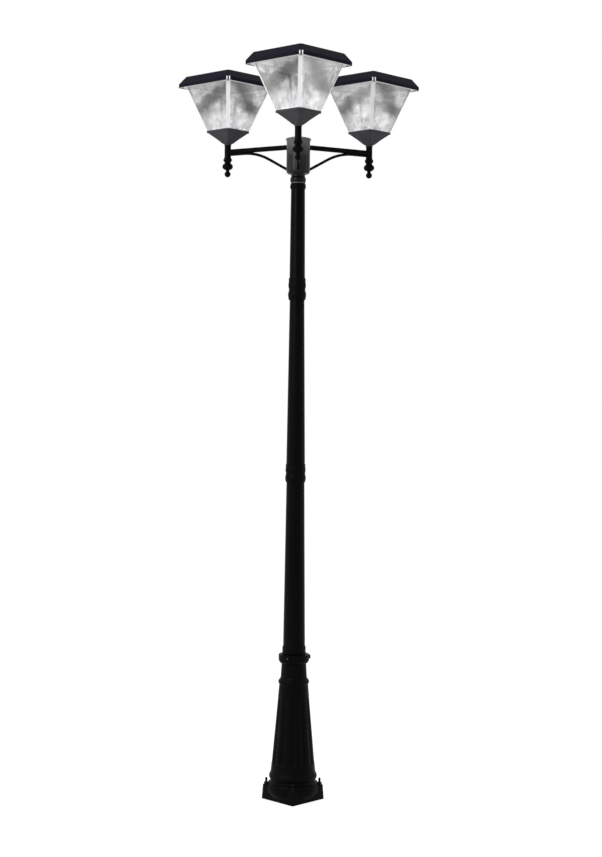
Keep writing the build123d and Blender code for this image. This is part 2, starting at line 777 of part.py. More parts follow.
def drop(head):
    """Turned ornament screwed up into the stem: bead, waist, bulb, neck and ball."""
    with BuildPart() as ornament:
        with BuildSketch(head_profile(head)):
            with BuildLine():
                Polyline(
                    (0, DROP_BALL_Z - DROP_BALL_RADIUS),
                    (0, STEM_FOOT_Z + DROP_STUD_LENGTH),
                    (DROP_STUD_RADIUS, STEM_FOOT_Z + DROP_STUD_LENGTH),
                    (DROP_STUD_RADIUS, STEM_FOOT_Z),
                    (STEM_FOOT_RADIUS, STEM_FOOT_Z),
                )
                ThreePointArc(
                    (STEM_FOOT_RADIUS, STEM_FOOT_Z),
                    (DROP_BEAD_RADIUS, STEM_FOOT_Z - 5.5),
                    (STEM_FOOT_RADIUS, STEM_FOOT_Z - 11),
                )
                ThreePointArc(
                    (STEM_FOOT_RADIUS, STEM_FOOT_Z - 11),
                    (DROP_WAIST_RADIUS, STEM_FOOT_Z - 14.5),
                    (STEM_FOOT_RADIUS + 0.5, STEM_FOOT_Z - 18),
                )
                ThreePointArc(
                    (STEM_FOOT_RADIUS + 0.5, STEM_FOOT_Z - 18),
                    (DROP_BULB_RADIUS, STEM_FOOT_Z - 28),
                    (DROP_WAIST_RADIUS, STEM_FOOT_Z - 37),
                )
                ball_top = DROP_BALL_Z + sqrt(DROP_BALL_RADIUS**2 - DROP_NECK_RADIUS**2)
                ThreePointArc(
                    (DROP_WAIST_RADIUS, STEM_FOOT_Z - 37),
                    (DROP_NECK_RADIUS - 0.4, STEM_FOOT_Z - 41),
                    (DROP_NECK_RADIUS, ball_top),
                )
                ThreePointArc(
                    (DROP_NECK_RADIUS, ball_top),
                    (DROP_BALL_RADIUS, DROP_BALL_Z),
                    (0, DROP_BALL_Z - DROP_BALL_RADIUS),
                )
            make_face()
        revolve(axis=head_axis(head))
    return ornament


# ---------------------------------------------------------------- lamp heads
def grub_planes(head):
    """Planes square to the two grub screws, on opposite flats of the tray."""
    centre = head.origin + Vector(0, 0, GRUB_Z)
    return [
        Plane(origin=centre, x_dir=(0, 0, 1), z_dir=head.x_dir * side) for side in (1, -1)
    ]


def tray(head):
    """Cast foot of the head: a square lip, concave slopes and a round socket for the pivot."""
    slope_top = TRAY_TOP_Z - TRAY_LIP
    with BuildPart() as cup:
        cut_pyramid(
            head,
            (slope_top, TRAY_SIDE, TRAY_CORNER),
            (TRAY_TOP_Z, TRAY_SIDE, TRAY_CORNER),
        )
        cut_pyramid(
            head,
            (TRAY_MIDDLE_Z, TRAY_MIDDLE_SIDE, TRAY_CORNER),
            (slope_top, TRAY_SLOPE_SIDE, TRAY_CORNER),
        )
        cut_pyramid(
            head,
            (TRAY_NECK_Z, TRAY_NECK_SIDE, TRAY_CORNER),
            (TRAY_MIDDLE_Z, TRAY_MIDDLE_SIDE, TRAY_CORNER),
        )
        disc(head, STEM_TOP_Z, TRAY_NECK_RADIUS, TRAY_NECK_Z - STEM_TOP_Z + 2)
        # Shallow pocket under the reflector, and the seat that holds its plate flush.
        cut_pyramid(
            head,
            (POCKET_FLOOR_Z, POCKET_FLOOR_SIDE, TRAY_CORNER),
            (TRAY_TOP_Z, POCKET_SIDE, TRAY_CORNER),
            Mode.SUBTRACT,
        )
        seat = REFLECTOR_SIDE + 2 * SLACK
        cut_pyramid(
            head,
            (TRAY_TOP_Z - REFLECTOR_PLATE, seat, TRAY_CORNER),
            (TRAY_TOP_Z, seat, TRAY_CORNER),
            Mode.SUBTRACT,
        )
        disc(head, STEM_TOP_Z, PIVOT_RADIUS + FIT, PIVOT_HEIGHT + 2, Mode.SUBTRACT)
        for radial in grub_planes(head):
            disc(radial, PIVOT_RADIUS - 1, GRUB_RADIUS + SLACK, TRAY_NECK_SIDE, Mode.SUBTRACT)
    return cup


def grub_screws(head):
    """Two grub screws, backed off from the pivot so that the head can be turned."""
    with BuildPart() as grubs:
        for radial in grub_planes(head):
            disc(radial, PIVOT_RADIUS + 0.3, GRUB_RADIUS, GRUB_LENGTH)
    return grubs


def reflector(head):
    """Bright plate with a curved cone that throws the light from above out sideways."""
    with BuildPart() as mirror:
        cut_pyramid(
            head,
            (TRAY_TOP_Z - REFLECTOR_PLATE, REFLECTOR_SIDE, TRAY_CORNER),
            (TRAY_TOP_Z, REFLECTOR_SIDE, TRAY_CORNER),
        )
        tip_z = TRAY_TOP_Z + CONE_HEIGHT
        with BuildSketch(head_profile(head)):
            with BuildLine():
                Polyline(
                    (CONE_TIP_RADIUS, tip_z), (0, tip_z), (0, TRAY_TOP_Z), (CONE_RADIUS, TRAY_TOP_Z)
                )
                ThreePointArc(
                    (CONE_RADIUS, TRAY_TOP_Z),
                    (CONE_RADIUS * 0.42, TRAY_TOP_Z + CONE_HEIGHT * 0.38),
                    (CONE_TIP_RADIUS, tip_z),
                )
            make_face()
        revolve(axis=head_axis(head))
    return mirror


def shade(head):
    """Clear moulded shade: four sloping panes joined by flat corner strips, open at both ends."""
    inner_corner = 0.586 * SHADE_WALL
    with BuildPart() as lens:
        cut_pyramid(
            head,
            (TRAY_TOP_Z, SHADE_FOOT_SIDE, SHADE_FOOT_CORNER),
            (SHADE_TOP_Z, SHADE_TOP_SIDE, SHADE_TOP_CORNER),
        )
        cut_pyramid(
            head,
            (TRAY_TOP_Z, SHADE_FOOT_SIDE - 2 * SHADE_WALL, SHADE_FOOT_CORNER - inner_corner),
            (SHADE_TOP_Z, SHADE_TOP_SIDE - 2 * SHADE_WALL, SHADE_TOP_CORNER - inner_corner),
            Mode.SUBTRACT,
        )
    return lens


CHASSIS_TOP_Z = SHADE_TOP_Z + CHASSIS_THICKNESS


def cap(head):
    """Moulded roof of the head: upright lip, bevel, flat top with a recess for the panel."""
    with BuildPart() as roof:
        cut_pyramid(
            head,
            (CAP_FOOT_Z, CAP_SIDE, CAP_CORNER),
            (CAP_FOOT_Z + CAP_LIP, CAP_SIDE, CAP_CORNER),
        )
        cut_pyramid(
            head,
            (CAP_FOOT_Z + CAP_LIP, CAP_SIDE, CAP_CORNER),
            (CAP_TOP_Z, CAP_TOP_SIDE, CAP_TOP_CORNER),
        )
        # Hollow inside, with a ledge all round that the chassis plate stops against.
        wide = CHASSIS_SIDE + 2 * SLACK
        cut_pyramid(
            head,
            (CAP_FOOT_Z, wide, CHASSIS_CORNER),
            (CHASSIS_TOP_Z, wide, CHASSIS_CORNER),
            Mode.SUBTRACT,
        )
        cut_pyramid(
            head,
            (CHASSIS_TOP_Z, CAP_INNER_SIDE, CHASSIS_CORNER),
            (CHASSIS_TOP_Z + 4, CAP_INNER_SIDE, CHASSIS_CORNER),
            Mode.SUBTRACT,
        )
        cut_pyramid(
            head,
            (CHASSIS_TOP_Z + 4, CAP_INNER_SIDE, CHASSIS_CORNER),
            (CAP_TOP_Z - PANEL_RECESS - CAP_CEILING, CAP_CEILING_SIDE, CAP_TOP_CORNER),
            Mode.SUBTRACT,
        )
        # Screw bosses in the four corners, run into the bevel and drilled from below.
        with BuildSketch(head.offset(CHASSIS_TOP_Z)):
            with GridLocations(CAP_SCREW_PITCH, CAP_SCREW_PITCH, 2, 2):
                Circle(CAP_BOSS_RADIUS)
        extrude(amount=CAP_BOSS_HEIGHT)
        with BuildSketch(head.offset(CHASSIS_TOP_Z)):
            with GridLocations(CAP_SCREW_PITCH, CAP_SCREW_PITCH, 2, 2):
                Circle(CAP_SCREW_RADIUS + SLACK)
        extrude(amount=CAP_SCREW_LENGTH - CHASSIS_THICKNESS + 1, mode=Mode.SUBTRACT)
        # Recess for the solar panel.
        cut_pyramid(
            head,
            (CAP_TOP_Z - PANEL_RECESS, PANEL_SIDE, PANEL_CORNER),
            (CAP_TOP_Z, PANEL_SIDE, PANEL_CORNER),
            Mode.SUBTRACT,
        )
    return roof


def solar_panel(head):
    """Laminated solar panel, laid in the recess of the cap."""
    floor = CAP_TOP_Z - PANEL_RECESS
    side = PANEL_SIDE - 4 * SLACK
    with BuildPart() as panel:
        cut_pyramid(head, (floor, side, PANEL_CORNER), (floor + PANEL_THICKNESS, side, PANEL_CORNER))
    return panel


def chassis(head):
    """Plate that closes the cap from below and carries everything electrical."""
    with BuildPart() as plate:
        cut_pyramid(
            head,
            (SHADE_TOP_Z, CHASSIS_SIDE, CHASSIS_CORNER),
            (CHASSIS_TOP_Z, CHASSIS_SIDE, CHASSIS_CORNER),
        )
        with BuildSketch(head.offset(SHADE_TOP_Z)):
            with GridLocations(CAP_SCREW_PITCH, CAP_SCREW_PITCH, 2, 2):
                Circle(CAP_SCREW_RADIUS + BUTTON_CLEARANCE)
            with Locations((0, BUTTON_Y)):
                Circle(BUTTON_RADIUS + BUTTON_CLEARANCE)
        extrude(amount=CHASSIS_THICKNESS, mode=Mode.SUBTRACT)
        # Stand-offs under the control board.
        with BuildSketch(head.offset(CHASSIS_TOP_Z)):
            with Locations((0, BOARD_Y)):
                with GridLocations(
                    BOARD_WIDTH - 2 * BOARD_STAND_INSET, BOARD_DEPTH - 2 * BOARD_STAND_INSET, 2, 2
                ):
                    Circle(BOARD_STAND_RADIUS)
        extrude(amount=BOARD_STAND)
    return plate


def control_board(head):
    """Charge and dusk control board, with the switch that the button presses."""
    board_z = CHASSIS_TOP_Z + BOARD_STAND
    switch_z = CHASSIS_TOP_Z + BUTTON_FLANGE + BUTTON_TRAVEL + 0.2
    with BuildPart() as board:
        with BuildSketch(head.offset(board_z)):
            with Locations((0, BOARD_Y)):
                Rectangle(BOARD_WIDTH, BOARD_DEPTH)
        extrude(amount=BOARD_THICKNESS)
        with BuildSketch(head.offset(switch_z)):
            with Locations((0, SWITCH_Y)):
                Rectangle(SWITCH_WIDTH, SWITCH_DEPTH)
        extrude(amount=board_z - switch_z)
    return board


def battery(head):
    """Pair of round cells in one shrunk-on sleeve, lying on the chassis plate."""
    centre = head.origin + head.y_dir * BATTERY_Y
    centre += Vector(0, 0, CHASSIS_TOP_Z + BATTERY_THICKNESS / 2)
    with BuildPart() as pack:
        with BuildSketch(Plane(origin=centre, x_dir=head.y_dir, z_dir=head.x_dir)):
            SlotOverall(BATTERY_WIDTH, BATTERY_THICKNESS)
        extrude(amount=BATTERY_LENGTH / 2, both=True)
    return pack


def led_board(head):
    """Round board under the chassis plate, with its ring of light-emitting diodes."""
    board_z = SHADE_TOP_Z - LED_BOARD_THICKNESS
    with BuildPart() as board:
        disc(head, board_z, LED_BOARD_RADIUS, LED_BOARD_THICKNESS)
        with BuildSketch(head.offset(board_z)):
            with PolarLocations(LED_CIRCLE_RADIUS, LED_COUNT):
                Rectangle(LED_SIZE, LED_SIZE)
        extrude(amount=-LED_HEIGHT)
    return board


def switch_button(head):
    """Push button: its stem hangs through the chassis plate and its flange rests on it."""
    spot = Plane(head.from_local_coords((0, BUTTON_Y, 0)), x_dir=head.x_dir, z_dir=(0, 0, 1))
    with BuildPart() as button:
        disc(spot, SHADE_TOP_Z - BUTTON_PROUD, BUTTON_RADIUS, BUTTON_PROUD + CHASSIS_THICKNESS)
        disc(spot, CHASSIS_TOP_Z, BUTTON_FLANGE_RADIUS, BUTTON_FLANGE)
    return button


def cap_screws(head):
    """Four screws that hold the chassis plate up in the cap."""
    with BuildPart() as screws:
        with BuildSketch(head.offset(SHADE_TOP_Z - CAP_SCREW_HEAD)):
            with GridLocations(CAP_SCREW_PITCH, CAP_SCREW_PITCH, 2, 2):
                Circle(CAP_SCREW_HEAD_RADIUS)
        extrude(amount=CAP_SCREW_HEAD)
        with BuildSketch(head.offset(SHADE_TOP_Z)):
            with GridLocations(CAP_SCREW_PITCH, CAP_SCREW_PITCH, 2, 2):
                Circle(CAP_SCREW_RADIUS)
        extrude(amount=CAP_SCREW_LENGTH)
    return screws


HEAD_PIECES = {
    "stem": stem,
    "drop": drop,
    "tray": tray,
    "grub_screws": grub_screws,
    "reflector": reflector,
    "shade": shade,
    "cap": cap,
    "solar_panel": solar_panel,
    "chassis": chassis,
    "control_board": control_board,
    "battery": battery,
    "led_board": led_board,
    "switch_button": switch_button,
    "cap_screws": cap_screws,
}

for side, angle in ARM_ANGLES.items():
    finish(arm(angle), f"{side}_arm")
    for piece_name, make in HEAD_PIECES.items():
        finish(make(head_ground(angle)), f"{side}_{piece_name}")
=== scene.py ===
# %% [markdown]
# # Triple head lamp post
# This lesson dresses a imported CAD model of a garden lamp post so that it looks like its
# photograph. The CAD holds every piece with a real size. Blender adds what CAD is slow at:
# prisms in the clear shades, optical rings, welds, screw sockets, solar cells, and the
# materials. Each cell first says what the thing is on the real object, then how it could be
# made, and why this way was chosen. All sizes are in metres, in the frame of the CAD.

import json
import math
from functools import partial

import bmesh
import bpy
from mathutils import Matrix, Vector


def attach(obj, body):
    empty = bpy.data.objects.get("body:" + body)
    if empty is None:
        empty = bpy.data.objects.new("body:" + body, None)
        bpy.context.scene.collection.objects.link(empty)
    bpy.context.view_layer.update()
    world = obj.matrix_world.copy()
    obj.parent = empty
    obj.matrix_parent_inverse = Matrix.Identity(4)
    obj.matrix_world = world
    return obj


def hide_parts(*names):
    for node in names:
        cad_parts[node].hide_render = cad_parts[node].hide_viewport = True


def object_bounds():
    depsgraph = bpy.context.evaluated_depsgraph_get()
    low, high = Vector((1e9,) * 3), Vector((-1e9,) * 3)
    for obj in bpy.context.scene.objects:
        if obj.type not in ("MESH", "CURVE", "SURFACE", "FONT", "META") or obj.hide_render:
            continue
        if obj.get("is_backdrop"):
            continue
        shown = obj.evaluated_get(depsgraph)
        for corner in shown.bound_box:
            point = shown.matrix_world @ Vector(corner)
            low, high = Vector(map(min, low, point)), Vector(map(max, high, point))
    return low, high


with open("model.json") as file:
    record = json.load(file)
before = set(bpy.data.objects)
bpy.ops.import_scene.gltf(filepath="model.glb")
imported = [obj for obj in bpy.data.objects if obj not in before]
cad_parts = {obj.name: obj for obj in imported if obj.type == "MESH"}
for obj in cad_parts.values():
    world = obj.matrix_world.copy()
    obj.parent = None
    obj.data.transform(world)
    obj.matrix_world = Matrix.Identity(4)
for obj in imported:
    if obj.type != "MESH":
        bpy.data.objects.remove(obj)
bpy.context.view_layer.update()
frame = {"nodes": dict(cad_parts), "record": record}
nodes = frame["nodes"]
SIDES = {"front": -90, "right": 30, "left": 150}
MM = 0.001
REACH = 268 * MM
print("CAD nodes:", len(nodes))

# %% [markdown]
# ## The frame of one lamp head
# Each head is a square thing that stands with a corner to the front, above its own stem, and
# in the photograph all three are turned a little further to the right. It could be drawn in
# place, with the turn and the offset in every number. Instead it is drawn once in its own
# upright axes, along its square sides, and a matrix carries it to its stem. Drawing three
# heads is then one loop, and each number can be read off the head itself.

# %%
HEAD_TURN = math.radians(47.5)
HEADS = {}
for side, angle in SIDES.items():
    turn = math.radians(angle)
    centre = Vector((REACH * math.cos(turn), REACH * math.sin(turn), 0))
    HEADS[side] = Matrix.Translation(centre) @ Matrix.Rotation(HEAD_TURN, 4, "Z")
    print(side, "stem at", [round(c, 4) for c in centre])

# %% [markdown]
# ## Camera
# The photograph was taken from about waist height, five metres away. The horizon was found by
# fitting the heights of the three caps, and the lens from how much larger the front head looks
# than the two behind. The camera stays level, so that the post doesn't converge, and a small
# lens shift frames it, as on a camera with a shift lens. The picture leans by half a degree.

# %%
scene = bpy.context.scene
SCALE = 3.2 * MM  # metres per pixel, at the pole's axis
FOCAL = 1600  # focal length in pixels
FRAME_W = 602
FRAME_H = 857
HORIZON_ROW = 385
GROUND_ROW = 798.5
AXIS_COLUMN = 296.3
CAMERA_ROLL = math.radians(0.5)
SENSOR = 36  # width of the camera's sensor in millimetres

camera_data = bpy.data.cameras.new("camera")
camera = bpy.data.objects.new("camera", camera_data)
scene.collection.objects.link(camera)
camera_data.sensor_width = SENSOR
camera_data.lens = FOCAL / FRAME_H * SENSOR
camera_data.shift_y = (HORIZON_ROW - FRAME_H / 2) / FRAME_H
camera_data.clip_end = 40
eye = Vector(
    ((FRAME_W / 2 - AXIS_COLUMN) * SCALE, -FOCAL * SCALE, (GROUND_ROW - HORIZON_ROW) * SCALE)
)
camera.matrix_world = (
    Matrix.Translation(eye)
    @ Matrix.Rotation(math.radians(90), 4, "X")
    @ Matrix.Rotation(CAMERA_ROLL, 4, "Z")
)
scene.camera = camera
scene.view_settings.view_transform = "Standard"
print("lens", round(camera_data.lens, 1), "mm, eye at", [round(c, 2) for c in eye])

# %% [markdown]
# ## Helpers for node trees
# The sky, the materials and the shade's shape are all worked out by nodes. These helpers add
# a node and feed it, so that a rule can be written like a formula. What they are given is
# either a plain value or the output of another node.

# %%
def feed(tree, socket, value):
    """Set a node's input to a number or a colour, or link it to another node's output."""
    if isinstance(value, (int, float, tuple)):
        socket.default_value = value
    else:
        tree.links.new(value, socket)


def math_node(tree, operation, *values):
    """Output of a new math node."""
    node = tree.nodes.new("ShaderNodeMath")
    node.operation = operation
    for socket, value in zip(node.inputs, values):
        feed(tree, socket, value)
    return node.outputs[0]


def map_range(tree, value, start, end, low=0.0, high=1.0, kind="LINEAR"):
    """Output of a new map range node, that goes from low to high between start and end."""
    node = tree.nodes.new("ShaderNodeMapRange")
    node.interpolation_type = kind
    names = ("Value", "From Min", "From Max", "To Min", "To Max")
    for name, given in zip(names, (value, start, end, low, high)):
        feed(tree, node.inputs[name], given)
    return node.outputs["Result"]


def colour_mix(tree, share, first, second):
    """Output of a new colour mix."""
    node = tree.nodes.new("ShaderNodeMix")
    node.data_type = "RGBA"
    for name, given in (("Factor", share), ("A", first), ("B", second)):
        feed(tree, node.inputs[name], given)
    return node.outputs["Result"]


def new_material(name):
    """Material with its node tree and its shader."""
    material = bpy.data.materials.new(name)
    material.use_nodes = True
    tree = material.node_tree
    return material, tree, tree.nodes["Principled BSDF"]


print("node helpers ready")

# %% [markdown]
# ## Floor, sky and lights
# The photograph is a studio cut-out on white. A floor could be left out, but then nothing
# would show that the post stands on something. Here the floor is pale and takes a soft
# shadow. A part of it is plain white for the camera, for mirrors and through glass, so that no
# grey edge crosses the picture, and the rest is a real white floor that keeps the shadow. The
# sky is white where it is seen and a little weaker where it lights things, and a soft lamp at
# the front left makes up for it, so that a colour looks about as it is written and the left
# faces come out lighter, as in the photograph.

# %%
SKY_LIGHT = 0.65  # strength of the sky where it lights things and isn't seen
FLOOR_WHITE = 0.6  # share of the floor that is plain white when it is seen
FLOOR_GLOW = 1.32
FLOOR_COLOUR = (0.85, 0.85, 0.85, 1)
FLOOR_CORNERS = [(-9, -7, 0), (9, -7, 0), (9, 11, 0), (-9, 11, 0)]


def seen_ray(tree):
    """Output that is 1 where the camera, a mirror or a look through glass sees the thing."""
    ray = tree.nodes.new("ShaderNodeLightPath")
    seen = math_node(tree, "MAXIMUM", ray.outputs["Is Camera Ray"], ray.outputs["Is Glossy Ray"])
    return math_node(tree, "MAXIMUM", seen, ray.outputs["Is Transmission Ray"])


world = bpy.data.worlds.new("studio")
scene.world = world
world.use_nodes = True
world.cycles.sampling_method = "NONE"
tree = world.node_tree
sky = tree.nodes["Background"]
sky.inputs["Color"].default_value = (1, 1, 1, 1)
feed(tree, sky.inputs["Strength"], map_range(tree, seen_ray(tree), 0, 1, SKY_LIGHT, 1))

floor_mesh = bpy.data.meshes.new("studio_floor")
floor_mesh.from_pydata(FLOOR_CORNERS, [], [(0, 1, 2, 3)])
floor = bpy.data.objects.new("studio_floor", floor_mesh)
scene.collection.objects.link(floor)
floor.location.z = -0.5 * MM
floor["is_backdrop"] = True

floor_paint, tree, shader = new_material("studio_floor")
tree.nodes.remove(shader)
floor_mix = tree.nodes.new("ShaderNodeMixShader")
floor_glow = tree.nodes.new("ShaderNodeEmission")
floor_skin = tree.nodes.new("ShaderNodeBsdfDiffuse")
floor_skin.inputs["Color"].default_value = FLOOR_COLOUR
floor_glow.inputs["Strength"].default_value = FLOOR_GLOW
feed(tree, floor_mix.inputs[0], math_node(tree, "MULTIPLY", seen_ray(tree), FLOOR_WHITE))
feed(tree, floor_mix.inputs[1], floor_skin.outputs[0])
feed(tree, floor_mix.inputs[2], floor_glow.outputs[0])
feed(tree, tree.nodes["Material Output"].inputs["Surface"], floor_mix.outputs[0])
floor_mesh.materials.append(floor_paint)


def softbox(name, place, target, width, height, power):
    """Rectangular lamp that faces the target."""
    data = bpy.data.lights.new(name, "AREA")
    data.shape = "RECTANGLE"
    data.size = width
    data.size_y = height
    data.energy = power
    lamp = bpy.data.objects.new(name, data)
    scene.collection.objects.link(lamp)
    lamp.location = place
    aim = Vector(target) - Vector(place)
    lamp.rotation_euler = aim.to_track_quat("-Z", "Y").to_euler()


softbox("strip_left", (-2.6, -0.3, 1.5), (0, 0, 1.35), 0.3, 3.0, 12)
softbox("strip_right", (2.6, -0.1, 1.6), (0, 0, 1.5), 0.3, 2.6, 8)
softbox("key", (-3.0, -3.4, 3.0), (0, 0, 1.7), 1.6, 1.6, 110)
softbox("top_light", (0.2, 0.6, 4.4), (0, 0, 2.0), 2.0, 2.0, 20)

# %% [markdown]
# ## One shared skin for paint, plastic and castings
# No real surface is one flat colour. Paint has a grain, plastic a fine texture, and a casting
# the sand it was poured in. Each material could hold its own copy of the noise nodes. One node
# group does it for all of them: it takes a colour, a second colour, a roughness, a grain size
# and a depth, and gives a varied colour, a varied roughness and a bumped normal. It reads
# object coordinates, so the grain stays on the object when the camera moves.

# %%
def group_socket(group, name, kind, value=None, output=False):
    """Add one named socket to a node group."""
    way = "OUTPUT" if output else "INPUT"
    socket = group.interface.new_socket(name=name, in_out=way, socket_type=kind)
    if value is not None:
        socket.default_value = value
    return socket


def noise_node(tree, coordinates, scale, detail):
    """Output of a new noise texture."""
    noise = tree.nodes.new("ShaderNodeTexNoise")
    noise.inputs["Detail"].default_value = detail
    feed(tree, noise.inputs["Vector"], coordinates)
    feed(tree, noise.inputs["Scale"], scale)
    return noise.outputs["Fac"]


PATCH_EDGE = (0.38, 0.68)  # range of the noise over which one colour turns into the other
skin = bpy.data.node_groups.new("surface_skin", "ShaderNodeTree")
group_socket(skin, "Colour", "NodeSocketColor", (0.1, 0.1, 0.1, 1))
group_socket(skin, "Second colour", "NodeSocketColor", (0.2, 0.2, 0.2, 1))
group_socket(skin, "Patches per metre", "NodeSocketFloat", 12)
group_socket(skin, "Patch share", "NodeSocketFloat", 0.3)
group_socket(skin, "Roughness", "NodeSocketFloat", 0.4)
group_socket(skin, "Roughness spread", "NodeSocketFloat", 0.1)
group_socket(skin, "Grains per metre", "NodeSocketFloat", 900)
group_socket(skin, "Grain height", "NodeSocketFloat", 0.00003)
group_socket(skin, "Colour", "NodeSocketColor", output=True)
group_socket(skin, "Roughness", "NodeSocketFloat", output=True)
group_socket(skin, "Normal", "NodeSocketVector", output=True)
given = skin.nodes.new("NodeGroupInput").outputs
made = skin.nodes.new("NodeGroupOutput").inputs
place = skin.nodes.new("ShaderNodeTexCoord").outputs["Object"]
patches = noise_node(skin, place, given["Patches per metre"], 4)
spread = map_range(skin, patches, *PATCH_EDGE)
share = math_node(skin, "MULTIPLY", spread, given["Patch share"])
feed(skin, made["Colour"], colour_mix(skin, share, given["Colour"], given["Second colour"]))
feed(skin, made["Roughness"], math_node(skin, "MULTIPLY_ADD", spread, given["Roughness spread"],
                                        given["Roughness"]))
bump = skin.nodes.new("ShaderNodeBump")
feed(skin, bump.inputs["Height"], noise_node(skin, place, given["Grains per metre"], 2))
feed(skin, bump.inputs["Distance"], given["Grain height"])
feed(skin, made["Normal"], bump.outputs["Normal"])
print("skin group sockets:", len(skin.interface.items_tree))

# %% [markdown]
# ## Materials
# The table below is the whole finish list, and each row is one real finish. The post is satin
# black powder coat over steel tube and over castings, which are coarser. The hub is a shade
# lighter, as in the photograph. The caps are fine matt plastic with a trace of violet.

# %%
SKINS = {
    # slot: colour, second colour, patches, share, rough, spread,
    #       grains, height, metal, coat, mirror
    "black_casting": ((0.0008, 0.0008, 0.0009), (0.002, 0.002, 0.0022), 22, 0.5, 0.42, 0.14,
                      900, 0.00003, 0.0, 0.0, 0.035),
    "black_tube": ((0.0008, 0.0008, 0.0009), (0.002, 0.002, 0.0022), 9, 0.4, 0.34, 0.08,
                   1600, 0.00001, 0.0, 0.0, 0.035),
    "hub_paint": ((0.1, 0.1, 0.101), (0.14, 0.14, 0.141), 14, 0.5, 0.3, 0.08,
                  1200, 0.00002, 0.0, 0.0, 0.1),
    "plain_steel": ((0.5, 0.5, 0.51), (0.36, 0.36, 0.37), 40, 0.5, 0.3, 0.15,
                    1500, 0.00001, 1.0, 0.0, 0.5),
    "bright_screw": ((0.26, 0.26, 0.27), (0.18, 0.18, 0.18), 120, 0.5, 0.25, 0.15,
                     2500, 0.00001, 0.5, 0.0, 0.3),
    "cap_plastic": ((0.0084, 0.0079, 0.0145), (0.0125, 0.0118, 0.019), 30, 0.5, 0.5, 0.12,
                    1800, 0.00003, 0.0, 0.0, 0.02),
    "chassis_plastic": ((0.78, 0.78, 0.77), (0.68, 0.68, 0.67), 30, 0.5, 0.5, 0.12,
                        1400, 0.00002, 0.0, 0.0, 0.5),
    "panel_glass": ((0.006, 0.01, 0.028), (0.01, 0.016, 0.042), 60, 0.4, 0.14, 0.05,
                    600, 0.00001, 0.0, 0.1, 0.2),
    "battery_sleeve": ((0.03, 0.09, 0.3), (0.02, 0.06, 0.22), 60, 0.5, 0.25, 0.1,
                       700, 0.00004, 0.0, 0.3, 0.5),
    "circuit_board": ((0.012, 0.1, 0.035), (0.02, 0.16, 0.06), 400, 0.8, 0.35, 0.1,
                      1800, 0.00002, 0.0, 0.3, 0.5),
    "led_board": ((0.78, 0.78, 0.76), (0.66, 0.66, 0.64), 200, 0.4, 0.4, 0.1,
                  1500, 0.00001, 0.0, 0.1, 0.5),
    "reflector_silver": ((0.9, 0.905, 0.91), (0.82, 0.825, 0.84), 40, 0.4, 0.2, 0.12,
                         800, 0.00002, 0.3, 0.0, 0.5),
    "tray_paint": ((0.04, 0.039, 0.0445), (0.062, 0.0605, 0.066), 26, 0.5, 0.45, 0.12,
                   1300, 0.00003, 0.0, 0.0, 0.05),
    "black_zinc": ((0.004, 0.004, 0.0045), (0.012, 0.012, 0.013), 150, 0.5, 0.35, 0.15,
                   2500, 0.00001, 0.6, 0.0, 0.1),
    "button_rubber": ((0.015, 0.015, 0.015), (0.03, 0.03, 0.03), 300, 0.5, 0.6, 0.15,
                      2500, 0.00003, 0.0, 0.0, 0.3),
}
MATERIALS = {}


def add_skin(tree, shader):
    """Feed a shader from the shared skin, and give back the skin's inputs."""
    group = tree.nodes.new("ShaderNodeGroup")
    group.node_tree = skin
    feed(tree, shader.inputs["Base Color"], group.outputs["Colour"])
    feed(tree, shader.inputs["Roughness"], group.outputs["Roughness"])
    feed(tree, shader.inputs["Normal"], group.outputs["Normal"])
    return group.inputs


def painted(name, colour, second, patches, share, rough, spread, grains, height, metal, coat,
            mirror=0.5):
    """Material made of the shared skin and one Principled shader."""
    material, tree, shader = new_material(name)
    finish = add_skin(tree, shader)
    for socket, value in zip(finish, ((*colour, 1), (*second, 1), patches, share, rough, spread,
                                      grains, height)):
        socket.default_value = value
    shader.inputs["Metallic"].default_value = metal
    shader.inputs["Coat Weight"].default_value = coat
    shader.inputs["Coat Roughness"].default_value = 0.18
    shader.inputs["Specular IOR Level"].default_value = mirror
    MATERIALS[name] = material
    return material


for slot_name, numbers in SKINS.items():
    painted(slot_name, *numbers)
print("painted materials:", len(MATERIALS))

# %% [markdown]
# ## Painted light on the hub
# The hub's colour is painted light graphite at the top and fades to black at the foot: painted
# light above and painted shade below. Two slots would leave a hard edge, so one material mixes
# both colours by height.

# %%
# painted light and shade: the hub's colour darkens by height from its top down to its foot
HUB_PAINTED_LIGHT_SPAN = (1985 * MM, 2105 * MM)
HUB_PAINTED_LIGHT_STOPS = ((0.0, 0.0), (0.2, 0.1), (0.55, 0.14), (1.0, 1.0))
HUB_PAINTED_SHADE_COLOUR = (0.001, 0.001, 0.0012, 1)
tree = MATERIALS["hub_paint"].node_tree
shader = tree.nodes["Principled BSDF"]
finish = tree.nodes["Group"].inputs
split = tree.nodes.new("ShaderNodeSeparateXYZ")
feed(tree, split.inputs[0], tree.nodes.new("ShaderNodeTexCoord").outputs["Object"])
painted_light_ramp = tree.nodes.new("ShaderNodeValToRGB")
stops = painted_light_ramp.color_ramp.elements
for level, _ in HUB_PAINTED_LIGHT_STOPS[1:-1]:
    stops.new(level)
for stop, (level, light) in zip(stops, HUB_PAINTED_LIGHT_STOPS):
    stop.color = (light, light, light, 1)
feed(tree, painted_light_ramp.inputs["Fac"], map_range(tree, split.outputs["Z"], *HUB_PAINTED_LIGHT_SPAN))
for name in ("Colour", "Second colour"):
    full = tuple(finish[name].default_value)
    feed(tree, finish[name], colour_mix(tree, painted_light_ramp.outputs["Color"], HUB_PAINTED_SHADE_COLOUR, full))
shader.inputs["Sheen Weight"].default_value = 0.1
shader.inputs["Sheen Roughness"].default_value = 0.3
print("hub fades between", HUB_PAINTED_LIGHT_SPAN, "m")
